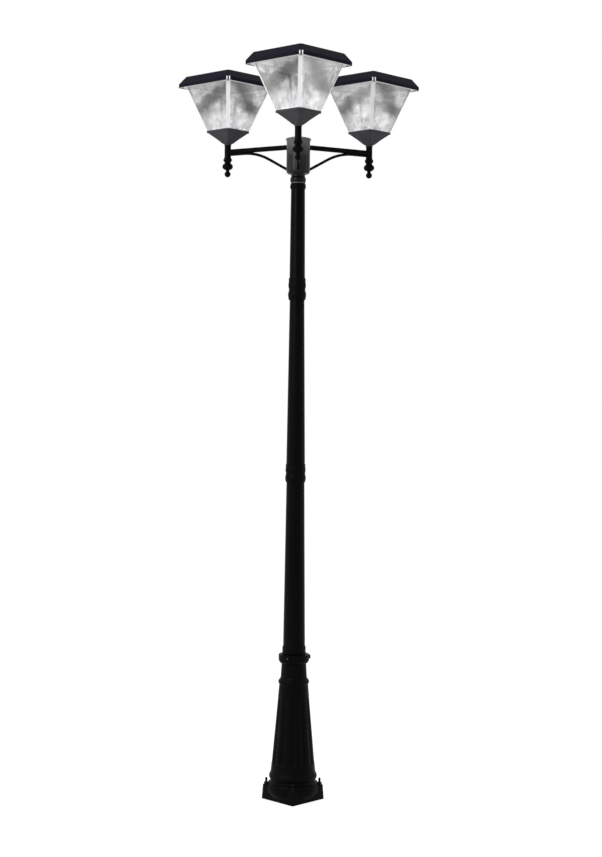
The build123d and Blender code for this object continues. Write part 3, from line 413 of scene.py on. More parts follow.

# %% [markdown]
# ## Clear moulded plastic
# The shades are clear plastic. Glass in a renderer can be a thin see-through sheet or a real
# refracting solid. The prisms only show if the light bends, so the shader refracts, and the mesh
# below has a true inside and outside. On each pane a grey band that slopes away from the corner
# is a painted reflection: a tint in the plastic's colour where the panes mirror something dark.
# The band needs to know where it is on the pane, so it reads a UV map (U from the corner across
# the pane, negative to the left, and V up it), and a noise makes its edge uneven. It falls
# gently and is narrow on the left pane, steep and broad on the right one, and thins out towards
# the foot. The same noise lays random patches of the grey over the panes. A thin darker line
# near the side corners is painted shade. For shadow rays the plastic is simply clear, so that
# the lamps reach inside.

# %%
# painted reflection band, in shares of a pane's height, each on the left and on the right pane
REFLECTION_BAND_START = (0.9, 1.3)  # where the band meets the corner
REFLECTION_BAND_FALL = (0.45, 1.2)  # how far it falls across the pane
REFLECTION_BAND_WIDTH = (0.22, 0.45)  # half its width
# shares of a pane's height, the same on both
REFLECTION_BAND_CORE = 0.04  # half the width of its darkest part
REFLECTION_BAND_WOBBLE = 0.17  # how far the noise pushes it up and down
REFLECTION_BAND_FOOT = (0.1, 0.5, 0.3)  # it thins out between these heights, down to this share
HAZE = (0.45, 0.6, 0, 0.34)  # range of the noise that turns into haze, and the haze it makes
# painted shade: a darker line near the side corners of each pane
SIDE_LINE_PAINTED_SHADE = (0.9, 0.95, 0, 0.8)  # where the darker line starts across a pane, and its share
CLOUD_SEED = 10.0
CLEAR = (0.965, 0.965, 0.97, 1)
SMOKE_AND_PAINTED_SHADE = (0.36, 0.356, 0.36, 1)

clear, tree, shader = new_material("clear_shade")
clear_math = partial(math_node, tree)
shader.inputs["Transmission Weight"].default_value = 1.0
shader.inputs["IOR"].default_value = 1.46
finish = add_skin(tree, shader)
for name, value in (("Roughness", 0.02), ("Roughness spread", 0.06), ("Patches per metre", 16),
                    ("Grains per metre", 260), ("Grain height", 0.02 * MM)):
    finish[name].default_value = value

pane_map = tree.nodes.new("ShaderNodeUVMap")
pane_map.uv_map = "pane"
split = tree.nodes.new("ShaderNodeSeparateXYZ")
feed(tree, split.inputs[0], pane_map.outputs["UV"])
across, rise = split.outputs["X"], split.outputs["Y"]
clouds = tree.nodes.new("ShaderNodeTexNoise")
clouds.noise_dimensions = "4D"
clouds.inputs["W"].default_value = CLOUD_SEED
clouds.inputs["Scale"].default_value = 4.4
clouds.inputs["Detail"].default_value = 2
feed(tree, clouds.inputs["Vector"], pane_map.outputs["UV"])

# painted reflection: a grey band that slopes away from the front corner of each pane
share = clear_math("ABSOLUTE", across)
right = clear_math("GREATER_THAN", across, 0)
start, fall, width = (clear_math("MULTIPLY_ADD", right, on_right - on_left, on_left)
                      for on_left, on_right in (REFLECTION_BAND_START, REFLECTION_BAND_FALL, REFLECTION_BAND_WIDTH))
reflection_band_line = clear_math("SUBTRACT", start, clear_math("MULTIPLY", share, fall))
wobble = clear_math("MULTIPLY_ADD", clouds.outputs["Fac"], 2 * REFLECTION_BAND_WOBBLE, -REFLECTION_BAND_WOBBLE)
reflection_band_gap = clear_math("ABSOLUTE", clear_math("ADD", clear_math("SUBTRACT", rise, reflection_band_line),
                                             wobble))
reflection_band = map_range(tree, reflection_band_gap, REFLECTION_BAND_CORE, width, 1, 0, "SMOOTHSTEP")
reflection_thinning = map_range(tree, rise, *REFLECTION_BAND_FOOT, 1, "SMOOTHSTEP")
haze = map_range(tree, clouds.outputs["Fac"], *HAZE)
# painted shade: darker near the side corners, the wall there is no thicker
painted_side_shade = map_range(tree, share, *SIDE_LINE_PAINTED_SHADE)
smoke_and_painted_shade = clear_math("MAXIMUM", clear_math("MULTIPLY", reflection_band, reflection_thinning), haze)
smoke_and_painted_shade = clear_math("MAXIMUM", smoke_and_painted_shade, painted_side_shade)
# the grey tint carries random haze, painted reflection and painted shade into the colour
feed(tree, shader.inputs["Base Color"], colour_mix(tree, smoke_and_painted_shade, CLEAR, SMOKE_AND_PAINTED_SHADE))

see_through = tree.nodes.new("ShaderNodeBsdfTransparent")
see_through.inputs["Color"].default_value = (0.9, 0.9, 0.92, 1)
ray = tree.nodes.new("ShaderNodeLightPath")
mix = tree.nodes.new("ShaderNodeMixShader")
feed(tree, mix.inputs[0], ray.outputs["Is Shadow Ray"])
feed(tree, mix.inputs[1], shader.outputs[0])
feed(tree, mix.inputs[2], see_through.outputs[0])
feed(tree, tree.nodes["Material Output"].inputs["Surface"], mix.outputs[0])
MATERIALS["clear_shade"] = clear
print("clear shade ready")

# %% [markdown]
# ## Dressing the CAD nodes
# Most CAD pieces already have the right shape, so they stay. Their flat facets would show as
# stripes, so curved runs are smoothed and only corners sharper than 32 degrees stay sharp. A
# real casting has no knife edges either: a small bevel catches a line of light along each
# edge. It is a modifier, so that the CAD mesh itself stays as it was packed.

# %%
BEVELS = {
    "base_casting": 1.6,
    "hub": 0.5,
    "hub_lid": 0.8,
    "pole_collar": 0.5,
    "cap": 1.4,
    "tray": 0.9,
    "stem": 0.5,
    "chassis": 0.4,
    "arm_bolts": 0.4,
    "base_clamp_screws": 0.6,
}
slot_of = {part["node"]: part["material_slot"] for part in frame["record"]["subparts"]}
SHARP = math.radians(32)
for node_name, node in nodes.items():
    mesh = node.data
    mesh.materials.clear()
    mesh.materials.append(MATERIALS[slot_of[node_name]])
    mesh.polygons.foreach_set("material_index", [0] * len(mesh.polygons))
    mesh.polygons.foreach_set("use_smooth", [True] * len(mesh.polygons))
    mesh.set_sharp_from_angle(angle=SHARP)
    kind = node_name
    for side in SIDES:
        kind = kind.removeprefix(side + "_")
    if kind in BEVELS:
        weld = node.modifiers.new("join_facets", "WELD")
        weld.merge_threshold = 0.01 * MM
        edge = node.modifiers.new("soft_edge", "BEVEL")
        edge.width = BEVELS[kind] * MM
        edge.segments = 3
        edge.limit_method = "ANGLE"
        edge.angle_limit = SHARP
        edge.harden_normals = False
print("dressed", len(nodes), "CAD nodes")

# %% [markdown]
# ## Helpers for new pieces
# Every new piece is mesh code: a turned form, a tube along a line or a shaped solid. Each one
# rides on a CAD body, so that it turns with its lamp head, and names the slot of its finish.

# %%
def add_piece(name, vertices, faces, body, slot_name, matrix=None, smooth_angle=35):
    """New mesh object in the row frame, that rides on a body."""
    mesh = bpy.data.meshes.new(name)
    mesh.from_pydata([tuple(v) for v in vertices], [], faces)
    if matrix is not None:
        mesh.transform(matrix)
    cleaner = bmesh.new()
    cleaner.from_mesh(mesh)
    bmesh.ops.recalc_face_normals(cleaner, faces=cleaner.faces)
    cleaner.to_mesh(mesh)
    cleaner.free()
    mesh.materials.append(MATERIALS[slot_name])
    mesh.polygons.foreach_set("use_smooth", [True] * len(mesh.polygons))
    mesh.set_sharp_from_angle(angle=math.radians(smooth_angle))
    piece = bpy.data.objects.new(name, mesh)
    scene.collection.objects.link(piece)
    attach(piece, body)
    return piece


def circle(radius, count, height=0.0):
    """Points evenly spaced round the local Z axis, or one point on it."""
    if not radius:
        return [Vector((0, 0, height))]
    angles = [2 * math.pi * k / count for k in range(count)]
    return [Vector((radius * math.cos(a), radius * math.sin(a), height)) for a in angles]


def lathe(points, steps=64):
    """Vertices and faces of a closed form turned from (radius, height) points."""
    vertices = []
    rings = []
    for radius, height in points:
        first = len(vertices)
        vertices += circle(radius, steps, height)
        count = len(vertices) - first
        rings.append([first + i % count for i in range(steps)])
    faces = []
    for low, high in zip(rings, rings[1:] + rings[:1]):
        for i in range(steps):
            j = (i + 1) % steps
            corners = tuple(dict.fromkeys((low[i], low[j], high[j], high[i])))
            if len(corners) > 2:
                faces.append(corners)
    return vertices, faces


def lofted(loops, closed=False):
    """Vertices and faces of a form through loops of equal count, with ends unless closed."""
    count = len(loops[0])
    total = len(loops)
    faces = []
    for k in range(total if closed else total - 1):
        low, high = k * count, (k + 1) % total * count
        for i in range(count):
            j = (i + 1) % count
            faces.append((low + i, low + j, high + j, high + i))
    if not closed:
        faces += [tuple(range(count)), tuple((total - 1) * count + i for i in range(count))]
    return [p for loop in loops for p in loop], faces


def tube(points, radius, sides=10):
    """Vertices and faces of a round tube through a closed or open run of points."""
    closed = (points[0] - points[-1]).length < 0.001 * MM
    run = points[:-1] if closed else points
    total = len(run)
    loops = []
    for i, point in enumerate(run):
        before = run[(i - 1) % total] if closed or i else point
        after = run[(i + 1) % total] if closed or i < total - 1 else point
        along = (after - before).normalized()
        side = along.orthogonal() if not i else side - along * side.dot(along)
        side = side.normalized()
        other = along.cross(side)
        loops.append([point + side * p.x + other * p.y for p in circle(radius, sides)])
    return lofted(loops, closed)


def joined(shapes):
    """One list of vertices and faces from several."""
    vertices = []
    faces = []
    for some_vertices, some_faces in shapes:
        start = len(vertices)
        vertices += [Vector(v) for v in some_vertices]
        faces += [tuple(start + k for k in face) for face in some_faces]
    return vertices, faces


print("helpers ready")

# %% [markdown]
# ## Helpers that chain geometry nodes and run them
# Geometry Nodes draw a shape from a rule and a few named sizes. A CAD library can't run them
# later, so the result is stored as a plain mesh and the object that carried the modifier goes.

# %%
def chained(tree, kind, last, settings, way_in="Geometry"):
    """Output of a new geometry node that takes in the last one's."""
    node = tree.nodes.new(kind)
    feed(tree, node.inputs[way_in], last)
    for name, value in settings.items():
        feed(tree, node.inputs[name], value)
    return node.outputs[0]


def grown(node_tree, values, points=()):
    """Vertices and faces that a geometry node tree makes from its named inputs."""
    seed = bpy.data.meshes.new("seed_points")
    seed.from_pydata([tuple(p) for p in points], [], [])
    maker = bpy.data.objects.new("maker", seed)
    scene.collection.objects.link(maker)
    modifier = maker.modifiers.new("grow", "NODES")
    modifier.node_group = node_tree
    for socket in node_tree.interface.items_tree:
        if socket.in_out == "INPUT" and socket.name in values:
            modifier[socket.identifier] = values[socket.name]
    bpy.context.view_layer.update()
    ready = maker.evaluated_get(bpy.context.evaluated_depsgraph_get())
    mesh = bpy.data.meshes.new_from_object(ready)
    shape = ([v.co.copy() for v in mesh.vertices], [tuple(p.vertices) for p in mesh.polygons])
    bpy.data.objects.remove(maker)
    bpy.data.meshes.remove(mesh)
    return shape


print("geometry node helpers ready")

# %% [markdown]
# ## The clear shade and its prisms
# The real shade is one moulding: four sloping panes with fine upright ribs inside, which
# spread the light, and a flat strip at each corner. The ribs could be bump on a flat pane,
# but bump can't bend the view through the pane. So the inner wall is a zigzag, with ribs
# that fan out from the foot to the top as the moulding does. The outside stays smooth.
# The shape follows a rule, so a node tree draws it. It starts from a flat grid with one
# column for each point round the shade and five rows: foot and top outside, top and foot
# inside, and the first again to close the wall. Each point finds its own place from its number.

# %%
SHADE_FOOT = (2154 * MM, 103 * MM, 7 * MM)
SHADE_TOP = (2295 * MM, 200 * MM, 8.5 * MM)
SHADE_WALL = 2.6 * MM
RIBS = 26
RIB_DEPTH = 0.45 * MM
CORNER_INSET = 0.414  # how much a corner cut at 45 degrees shortens a pane for its inset

ribbed = bpy.data.node_groups.new("ribbed_shade", "GeometryNodeTree")
for name in ("Foot height", "Foot side", "Foot leg", "Top height", "Top side", "Top leg",
             "Wall", "Rib depth"):
    group_socket(ribbed, name, "NodeSocketFloat", 0.0)
group_socket(ribbed, "Ribs", "NodeSocketInt", RIBS)
group_socket(ribbed, "Finish", "NodeSocketMaterial")
group_socket(ribbed, "Geometry", "NodeSocketGeometry", output=True)
sizes_in = ribbed.nodes.new("NodeGroupInput").outputs
rule = partial(math_node, ribbed)


def foot_to_top(size):
    """One size of the shade, at the foot's rows or at the top's rows."""
    gain = rule("SUBTRACT", sizes_in["Top " + size], sizes_in["Foot " + size])
    return rule("MULTIPLY_ADD", at_top, gain, sizes_in["Foot " + size])


# %% [markdown]
# ### The rule: from a point's number to its place
# The number gives the column and the row. The column gives the pane and the step along it,
# and each second step inside is a rib. The row tells foot from top and outside from inside.

# %%
ROWS = 5  # the fifth row lies on the first
per_pane = rule("MULTIPLY_ADD", sizes_in["Ribs"], 2, 1)
around = rule("MULTIPLY", per_pane, 4)
number = ribbed.nodes.new("GeometryNodeInputIndex").outputs[0]
column = rule("FLOOR", rule("DIVIDE", number, ROWS))
row = rule("MODULO", rule("MULTIPLY_ADD", column, -ROWS, number), ROWS - 1)
at_top = rule("COMPARE", row, 1.5, 0.6)  # rows 1 and 2
inside = rule("GREATER_THAN", row, 1.5)  # rows 2 and 3
spot = rule("MODULO", column, around)
pane = rule("FLOOR", rule("DIVIDE", spot, per_pane))
step = rule("SUBTRACT", spot, rule("MULTIPLY", pane, per_pane))
inset = rule("MULTIPLY", sizes_in["Wall"], inside)
half_side = rule("MULTIPLY", foot_to_top("side"), 0.5)
run = rule("SUBTRACT", rule("SUBTRACT", half_side, foot_to_top("leg")),
           rule("MULTIPLY", inset, CORNER_INSET))
across = rule("MULTIPLY", run, rule("SUBTRACT", rule("DIVIDE", step, sizes_in["Ribs"]), 1))
rib = rule("MULTIPLY", rule("MULTIPLY", sizes_in["Rib depth"], inside), rule("MODULO", step, 2))
outward = rule("SUBTRACT", rule("SUBTRACT", half_side, inset), rib)

flat_grid = ribbed.nodes.new("GeometryNodeMeshGrid")
feed(ribbed, flat_grid.inputs["Vertices X"], rule("ADD", around, 1))
feed(ribbed, flat_grid.inputs["Vertices Y"], ROWS)
on_pane = ribbed.nodes.new("ShaderNodeCombineXYZ")
for socket, value in zip(on_pane.inputs, (outward, across, foot_to_top("height"))):
    feed(ribbed, socket, value)
turned = ribbed.nodes.new("ShaderNodeVectorRotate")
turned.rotation_type = "Z_AXIS"
feed(ribbed, turned.inputs["Vector"], on_pane.outputs[0])
feed(ribbed, turned.inputs["Angle"], rule("MULTIPLY", pane, math.pi / 2))
last = flat_grid.outputs["Mesh"]
for kind, settings in (("GeometryNodeSetPosition", {"Position": turned.outputs[0]}),
                       ("GeometryNodeMergeByDistance", {"Distance": 0.001 * MM}),
                       ("GeometryNodeRealizeInstances", {}),
                       ("GeometryNodeSetMaterial", {"Material": sizes_in["Finish"]})):
    last = chained(ribbed, kind, last, settings)
feed(ribbed, ribbed.nodes.new("NodeGroupOutput").inputs["Geometry"], last)

shade_sizes = {"Wall": SHADE_WALL, "Rib depth": RIB_DEPTH, "Ribs": RIBS,
               "Finish": MATERIALS["clear_shade"]}
for end, level in (("Foot", SHADE_FOOT), ("Top", SHADE_TOP)):
    for size, value in zip(("height", "side", "leg"), level):
        shade_sizes[f"{end} {size}"] = value
shell = grown(ribbed, shade_sizes)
print("points in the shade:", len(shell[0]), "faces:", len(shell[1]))

# %% [markdown]
# ### A map across each pane
# The smoky band slopes away from the front corner on both sides, so the material has to know
# how far a point is from that corner, and on which side. The UV map says it. The two rear
# panes have the same bands, so that the moulding looks the same after half a turn.

# %%
def map_panes(piece, matrix):
    """UV map of a shade: U leads from the front or rear corner, to the right, V leads up."""
    back = matrix.inverted()
    layer = piece.data.uv_layers.new(name="pane")
    for face in piece.data.polygons:
        middle = back @ face.center
        on_x_side = abs(middle.x) > abs(middle.y)
        far = (middle.x if on_x_side else middle.y) > 0
        for corner in face.loop_indices:
            point = back @ piece.data.vertices[piece.data.loops[corner].vertex_index].co
            rise = (point.z - SHADE_FOOT[0]) / (SHADE_TOP[0] - SHADE_FOOT[0])
            half = (SHADE_FOOT[1] + rise * (SHADE_TOP[1] - SHADE_FOOT[1])) / 2
            across = (point.y if on_x_side else point.x) / half
            share = (1 - across) / 2 if far else (1 + across) / 2
            layer.data[corner].uv = (-share if on_x_side else share, rise)


for side, matrix in HEADS.items():
    lens = add_piece(f"{side}_shade_moulding", *shell, f"{side}_head", "clear_shade", matrix, 12)
    map_panes(lens, matrix)
    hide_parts(f"{side}_shade")
print("ribs in each shade:", 4 * RIBS)

# %% [markdown]
# ## Bright corners
# Each corner strip of the shade is frosted white between two thin raised ribs. The ribs are
# white as a painted highlight along the corner's edges, and two short white bars on the lip of
# the cap are painted glints where its corner edges catch the light. Together they make the
# bright line down the near corner of every head. The strip could be painted on the pane with a
# mask, but as a thin solid of its own it also shows from the side. The ribs are round tubes sunk
# half into the corner.

# %%
# painted highlight: plain white for the ribs and the cap's bars, for light caught on the edges
painted("corner_rib", (0.93, 0.935, 0.95), (0.85, 0.855, 0.87), 60, 0.4, 0.3, 0.1, 900,
        0.00002, 0.0, 0.0)
frosted = painted("frosted_strip", (0.86, 0.865, 0.875), (0.8, 0.805, 0.815), 50, 0.4, 0.5,
                  0.1, 700, 0.00003, 0.0, 0.0)
frosted.node_tree.nodes["Principled BSDF"].inputs["Transmission Weight"].default_value = 0.1
OUTWARD = Vector((-1, -1, 0)).normalized()
EDGE_RIB = 0.9 * MM  # radius of the thin ribs beside the strip
SUNK = 0.3 * MM  # how deep ribs and bars are sunk into the corner
STRIP_PROUD = 0.25 * MM
GLINT_PROUD = 0.06 * MM
STRIP_SPAN = (0.12, 0.88)  # shares of the corner's width
GLINT_SPANS = ((0.02, 0.3), (0.7, 0.98))


def corner_edges(level, inset):
    """The two edge points of the corner strip on the front corner, in the head's axes."""
    height, side, leg = level
    half = side / 2 - inset
    run = side / 2 - leg - inset * CORNER_INSET
    return Vector((-half, -run, height)), Vector((-run, -half, height))


def corner_bar(low_level, high_level, span, proud):
    """Flat bar on the corner, between two shares of the corner's width."""
    vertices = []
    for level in (low_level, high_level):
        first, second = corner_edges(level, 0)
        for share in span:
            point = first.lerp(second, share)
            vertices += [point - OUTWARD * SUNK, point + OUTWARD * proud]
    return vertices, [(0, 1, 3, 2), (4, 6, 7, 5), (0, 4, 5, 1), (1, 5, 7, 3), (3, 7, 6, 2),
                      (2, 6, 4, 0)]


def on_corners(shapes):
    """The same shapes on all four corners, as one list of vertices and faces."""
    turned_shapes = []
    for quarter in range(4):
        turn = Matrix.Rotation(math.radians(90 * quarter), 3, "Z")
        for vertices, faces in shapes:
            turned_shapes.append(([turn @ v for v in vertices], faces))
    return joined(turned_shapes)


edge_ribs = []
for low, high in zip(corner_edges(SHADE_FOOT, SUNK), corner_edges(SHADE_TOP, SUNK)):
    edge_ribs.append(tube([low, low.lerp(high, 0.5), high], EDGE_RIB))
LIP_FOOT = (2294.3 * MM, 237 * MM, 8.5 * MM)
LIP_TOP = (2304 * MM, 237 * MM, 8.5 * MM)
SLOPE_TOP = (2313 * MM, 223.8 * MM, 7.3 * MM)
# painted glints: white bars barely proud of the cap's lip
glint_bars = []
for span in GLINT_SPANS:
    glint_bars.append(corner_bar(LIP_FOOT, LIP_TOP, span, GLINT_PROUD))
    glint_bars.append(corner_bar(LIP_TOP, SLOPE_TOP, span, GLINT_PROUD))
strip = corner_bar(SHADE_FOOT, SHADE_TOP, STRIP_SPAN, STRIP_PROUD)
corner_shapes = {
    "corner_ribs": (on_corners(edge_ribs), "corner_rib"),
    "cap_ticks": (on_corners(glint_bars), "corner_rib"),
    "corner_strips": (on_corners([strip]), "frosted_strip"),
}
for side, matrix in HEADS.items():
    for name, (shape, finish) in corner_shapes.items():
        add_piece(f"{side}_{name}", *shape, f"{side}_head", finish, matrix)
print("bright corner pieces per head:", list(corner_shapes))

# %% [markdown]
# ## Reflector with its rings
# The lamp shines down from the ceiling of the head, and a bright cone on the tray throws the
# light out sideways. A smooth cone would make one hard hot spot, so real ones are stepped in
# fine rings. The profile is a run of small steps along a hollow curve, turned round the axis.
# It stands on a square plate with rounded corners that is sunk flush in the tray.

# %%
PLATE_TOP = 2154 * MM
CONE_HEIGHT = 78 * MM
CONE_RADIUS = 43 * MM
TIP_RADIUS = 2.5 * MM
CONE_FOOT = PLATE_TOP + 0.6 * MM
HOLLOW = 1.75  # power of the cone's hollow curve
RINGS = 20
RING_LEAN = 0.65  # share of a ring's width that its sloping face takes
RING_RISE = 0.45  # share of a ring's height that its sloping face takes
PLATE_HALF = 47.3 * MM
PLATE_ROUND = 6 * MM


def cone_radius(ring_number):
    """Radius of the cone at a ring, along a hollow curve."""
    return TIP_RADIUS + (CONE_RADIUS - TIP_RADIUS) * (1 - ring_number / RINGS) ** HOLLOW


profile = [(0, PLATE_TOP - 1 * MM), (CONE_RADIUS + 1.5 * MM, PLATE_TOP - 1 * MM),
           (CONE_RADIUS + 1.5 * MM, CONE_FOOT)]
for k in range(RINGS):
    radius, following = cone_radius(k), cone_radius(k + 1)
    height = CONE_FOOT + CONE_HEIGHT * k / RINGS
    profile.append((radius, height))
    profile.append((radius * (1 - RING_LEAN) + following * RING_LEAN,
                    height + CONE_HEIGHT / RINGS * RING_RISE))
profile.append((TIP_RADIUS, PLATE_TOP + CONE_HEIGHT - 1 * MM))
profile.append((1.2 * MM, PLATE_TOP + CONE_HEIGHT))
profile.append((0, PLATE_TOP + CONE_HEIGHT))
cone = lathe(profile, 96)

outline = []
for quarter in range(4):
    turn = Matrix.Rotation(math.radians(90 * quarter), 3, "Z")
    for k in range(7):
        a = math.radians(15 * k)
        outline.append(turn @ Vector((PLATE_HALF - PLATE_ROUND * (1 - math.cos(a)),
                                      PLATE_HALF - PLATE_ROUND * (1 - math.sin(a)), 0)))
plate_loops = []
for inset, height in ((0, -3.0), (0, -0.5), (0.5, 0), (3.0, 0), (3.6, -0.5), (4.2, -0.5)):
    shrink = 1 - inset * MM / PLATE_HALF
    plate_loops.append([p * shrink + Vector((0, 0, PLATE_TOP + height * MM)) for p in outline])
optic = joined([cone, lofted(plate_loops)])
for side, matrix in HEADS.items():
    piece = add_piece(f"{side}_reflector_rings", *optic, f"{side}_head", "reflector_silver",
                      matrix, 50)
    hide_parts(f"{side}_reflector")
print("reflector rings:", RINGS)

# %% [markdown]
# ## Lenses on the light-emitting diodes
# Each diode is a small yellow-white dome on the white board. Six domes on a circle repeat, so
# they are made with Geometry Nodes: one dome is put on each point of a ring of points. The
# result is turned into a plain mesh, because a CAD library can't run the modifier later.

# %%
diode, tree, shader = new_material("diode_lens")
MATERIALS["diode_lens"] = diode
place = tree.nodes.new("ShaderNodeTexCoord").outputs["Object"]
tint = colour_mix(tree, noise_node(tree, place, 900, 2), (0.95, 0.82, 0.35, 1),
                  (0.98, 0.9, 0.55, 1))
feed(tree, shader.inputs["Base Color"], tint)
shader.inputs["Roughness"].default_value = 0.18
shader.inputs["Subsurface Weight"].default_value = 0.2
shader.inputs["Subsurface Radius"].default_value = (0.001, 0.001, 0.0005)
shader.inputs["Coat Weight"].default_value = 0.6

scatter = bpy.data.node_groups.new("put_on_points", "GeometryNodeTree")
group_socket(scatter, "Geometry", "NodeSocketGeometry")
group_socket(scatter, "Item", "NodeSocketObject")
group_socket(scatter, "Size", "NodeSocketFloat", 1.0)
group_socket(scatter, "Finish", "NodeSocketMaterial")
group_socket(scatter, "Geometry", "NodeSocketGeometry", output=True)
given = scatter.nodes.new("NodeGroupInput").outputs
item_info = scatter.nodes.new("GeometryNodeObjectInfo")
feed(scatter, item_info.inputs["Object"], given["Item"])
last = given["Geometry"]
for kind, way_in, settings in (
    ("GeometryNodeMeshToPoints", "Mesh", {}),
    ("GeometryNodeInstanceOnPoints", "Points",
     {"Instance": item_info.outputs["Geometry"], "Scale": given["Size"]}),
    ("GeometryNodeRealizeInstances", "Geometry", {}),
    ("GeometryNodeSetMaterial", "Geometry", {"Material": given["Finish"]}),
):
    last = chained(scatter, kind, last, settings, way_in)
feed(scatter, scatter.nodes.new("NodeGroupOutput").inputs["Geometry"], last)


def repeated(name, item, points, body, slot_name, matrix, smooth_angle=35):
    """One item at each point, made with the node group and stored as a plain mesh."""
    seed = bpy.data.meshes.new(name + "_item")
    seed.from_pydata([tuple(v) for v in item[0]], [], item[1])
    seed_object = bpy.data.objects.new(name + "_item", seed)
    scene.collection.objects.link(seed_object)
    values = {"Item": seed_object, "Size": 1.0, "Finish": MATERIALS[slot_name]}
    shape = grown(scatter, values, points)
    bpy.data.objects.remove(seed_object)
    return add_piece(name, *shape, body, slot_name, matrix, smooth_angle)


dome = lathe([(0, 0), (1.9 * MM, 0), (1.85 * MM, -0.4 * MM), (1.5 * MM, -0.9 * MM),
              (0.8 * MM, -1.25 * MM), (0, -1.35 * MM)], 20)
DIODE_CIRCLE = 18 * MM
BOARD_FACE = 2292.2 * MM
ring = circle(DIODE_CIRCLE, 6, BOARD_FACE)
for side, matrix in HEADS.items():
    repeated(f"{side}_diode_lenses", dome, ring, f"{side}_head", "diode_lens", matrix)
print("diode lenses per head:", len(ring))

# %% [markdown]
# ## Solar cells
# The top of each cap is a solar panel. It can't be seen in the photograph, but it is why the
# caps are flat and wide. Dark blue cells with cut corners lie in rows under a clear sheet,
# joined by thin silver lines. Cells and lines repeat on a grid with the same node group.

# %%
painted("solar_cell", (0.005, 0.012, 0.055), (0.009, 0.022, 0.09), 240, 0.7, 0.12, 0.06, 900,
        0.00001, 0.0, 0.1, 0.2)
painted("cell_line", (0.6, 0.61, 0.62), (0.5, 0.5, 0.52), 200, 0.4, 0.3, 0.1, 1500, 0.00001, 1.0,
        0.0)
PANEL_TOP = 2329.2 * MM
CELLS = 5
PITCH = 35.6 * MM
CELL_HALF = 17 * MM
CELL_CUT = 3 * MM
CELL_THICK = 0.15 * MM
BUS_AT = (-8 * MM, 8 * MM)  # where the two broad lines run
BUS_HALF = (0.5 * MM, 17.2 * MM)
FINGER_HALF = (16.6 * MM, 0.06 * MM)
FINGER_PITCH = 3 * MM


def slab(outline, low, high):
    """Vertices and faces of a flat slab."""
    return lofted([[Vector((x, y, z)) for x, y in outline] for z in (low, high)])


def rectangle(x, y, half_x, half_y):
    """Outline of a rectangle round a point."""
    return [(x - half_x, y - half_y), (x + half_x, y - half_y),
            (x + half_x, y + half_y), (x - half_x, y + half_y)]


straight = CELL_HALF - CELL_CUT
cell_outline = [(-straight, -CELL_HALF), (straight, -CELL_HALF),
                (CELL_HALF, -straight), (CELL_HALF, straight),
                (straight, CELL_HALF), (-straight, CELL_HALF),
                (-CELL_HALF, straight), (-CELL_HALF, -straight)]
cell = slab(cell_outline, 0, CELL_THICK)
line_set = joined(
    [slab(rectangle(x, 0, *BUS_HALF), CELL_THICK, CELL_THICK + 0.1 * MM) for x in BUS_AT]
    + [slab(rectangle(0, k * FINGER_PITCH, *FINGER_HALF), CELL_THICK, CELL_THICK + 0.05 * MM)
       for k in range(-5, 6)]
)
middle = (CELLS - 1) / 2
grid = [Vector(((i - middle) * PITCH, (j - middle) * PITCH, PANEL_TOP))
        for i in range(CELLS) for j in range(CELLS)]
for side, matrix in HEADS.items():
    repeated(f"{side}_solar_cells", cell, grid, f"{side}_head", "solar_cell", matrix)
    repeated(f"{side}_cell_lines", line_set, grid, f"{side}_head", "cell_line", matrix)
print("cells per panel:", len(grid))

# %% [markdown]
# ## Anchor studs
# The post is bolted down through its foot. A stud end with its nut and washer stands in each
# corner, and two of them show in the photograph as small spikes beside the foot. Threads
# could be a bump, but the studs stand out against white, so the ridges are really turned.

# %%
NUT_RADIUS = 6.5 * MM / math.cos(math.radians(30))  # over the corners
STUD_TOP = 67.5 * MM
NUT_FOOT = 47.4 * MM
THREAD_PITCH = 1.25 * MM
STUD_CIRCLE = 85 * MM
stud_profile = [(0, 1 * MM), (3.9 * MM, 1 * MM), (3.9 * MM, NUT_FOOT)]
level = NUT_FOOT
while level < STUD_TOP - 2.2 * MM:
    stud_profile += [(4.0 * MM, level + 0.3 * MM), (3.45 * MM, level + 0.9 * MM)]
    level += THREAD_PITCH
stud_profile += [(3.3 * MM, STUD_TOP - 0.8 * MM), (2.5 * MM, STUD_TOP), (0, STUD_TOP)]
stud = lathe(stud_profile, 24)
washer = lathe([(4.2 * MM, 46 * MM), (7.6 * MM, 46 * MM), (7.8 * MM, 46.4 * MM),
                (7.8 * MM, 47 * MM), (7.4 * MM, NUT_FOOT), (4.2 * MM, NUT_FOOT)], 32)
nut_loops = [circle(NUT_RADIUS * share, 6, NUT_FOOT + height * MM)
             for share, height in ((0.94, 0), (1, 0.7), (1, 5.6), (0.94, 6.3))]
anchor = joined([stud, washer, lofted(nut_loops)])
corners = circle(STUD_CIRCLE, 4)
repeated("anchor_studs", anchor, corners, "post", "black_zinc", None)
print("anchor studs:", len(corners))

# %% [markdown]
# ## Bright washer under the hub
# Between the hub's foot and the ring on the pole's top the photograph shows one thin bright
# line. It is bare metal between painted castings, so it is made as a thin turned washer.

# %%
painted("washer_zinc", (0.07, 0.07, 0.072), (0.05, 0.05, 0.052), 60, 0.5, 0.35, 0.1, 1500,
        0.00001, 0.6, 0.0)
WASHER = (1967.8 * MM, 1971.0 * MM)  # foot and top
washer_ring = lathe([(21.2 * MM, WASHER[0]), (22.9 * MM, WASHER[0]),
                     (23.2 * MM, sum(WASHER) / 2), (22.9 * MM, WASHER[1]),
                     (21.2 * MM, WASHER[1])], 96)
add_piece("top_washer", *washer_ring, "post", "washer_zinc")
print("washer between", WASHER, "m")

# %% [markdown]
# ## Sockets in the clamping screws
# The screws that clamp the pole have a hexagon socket. A boolean cut would work, but it would
# change the CAD mesh. A hexagonal cup of bare metal is set in the painted head instead, with
# a dark rim round it, which is what the eye reads as a socket at this size.

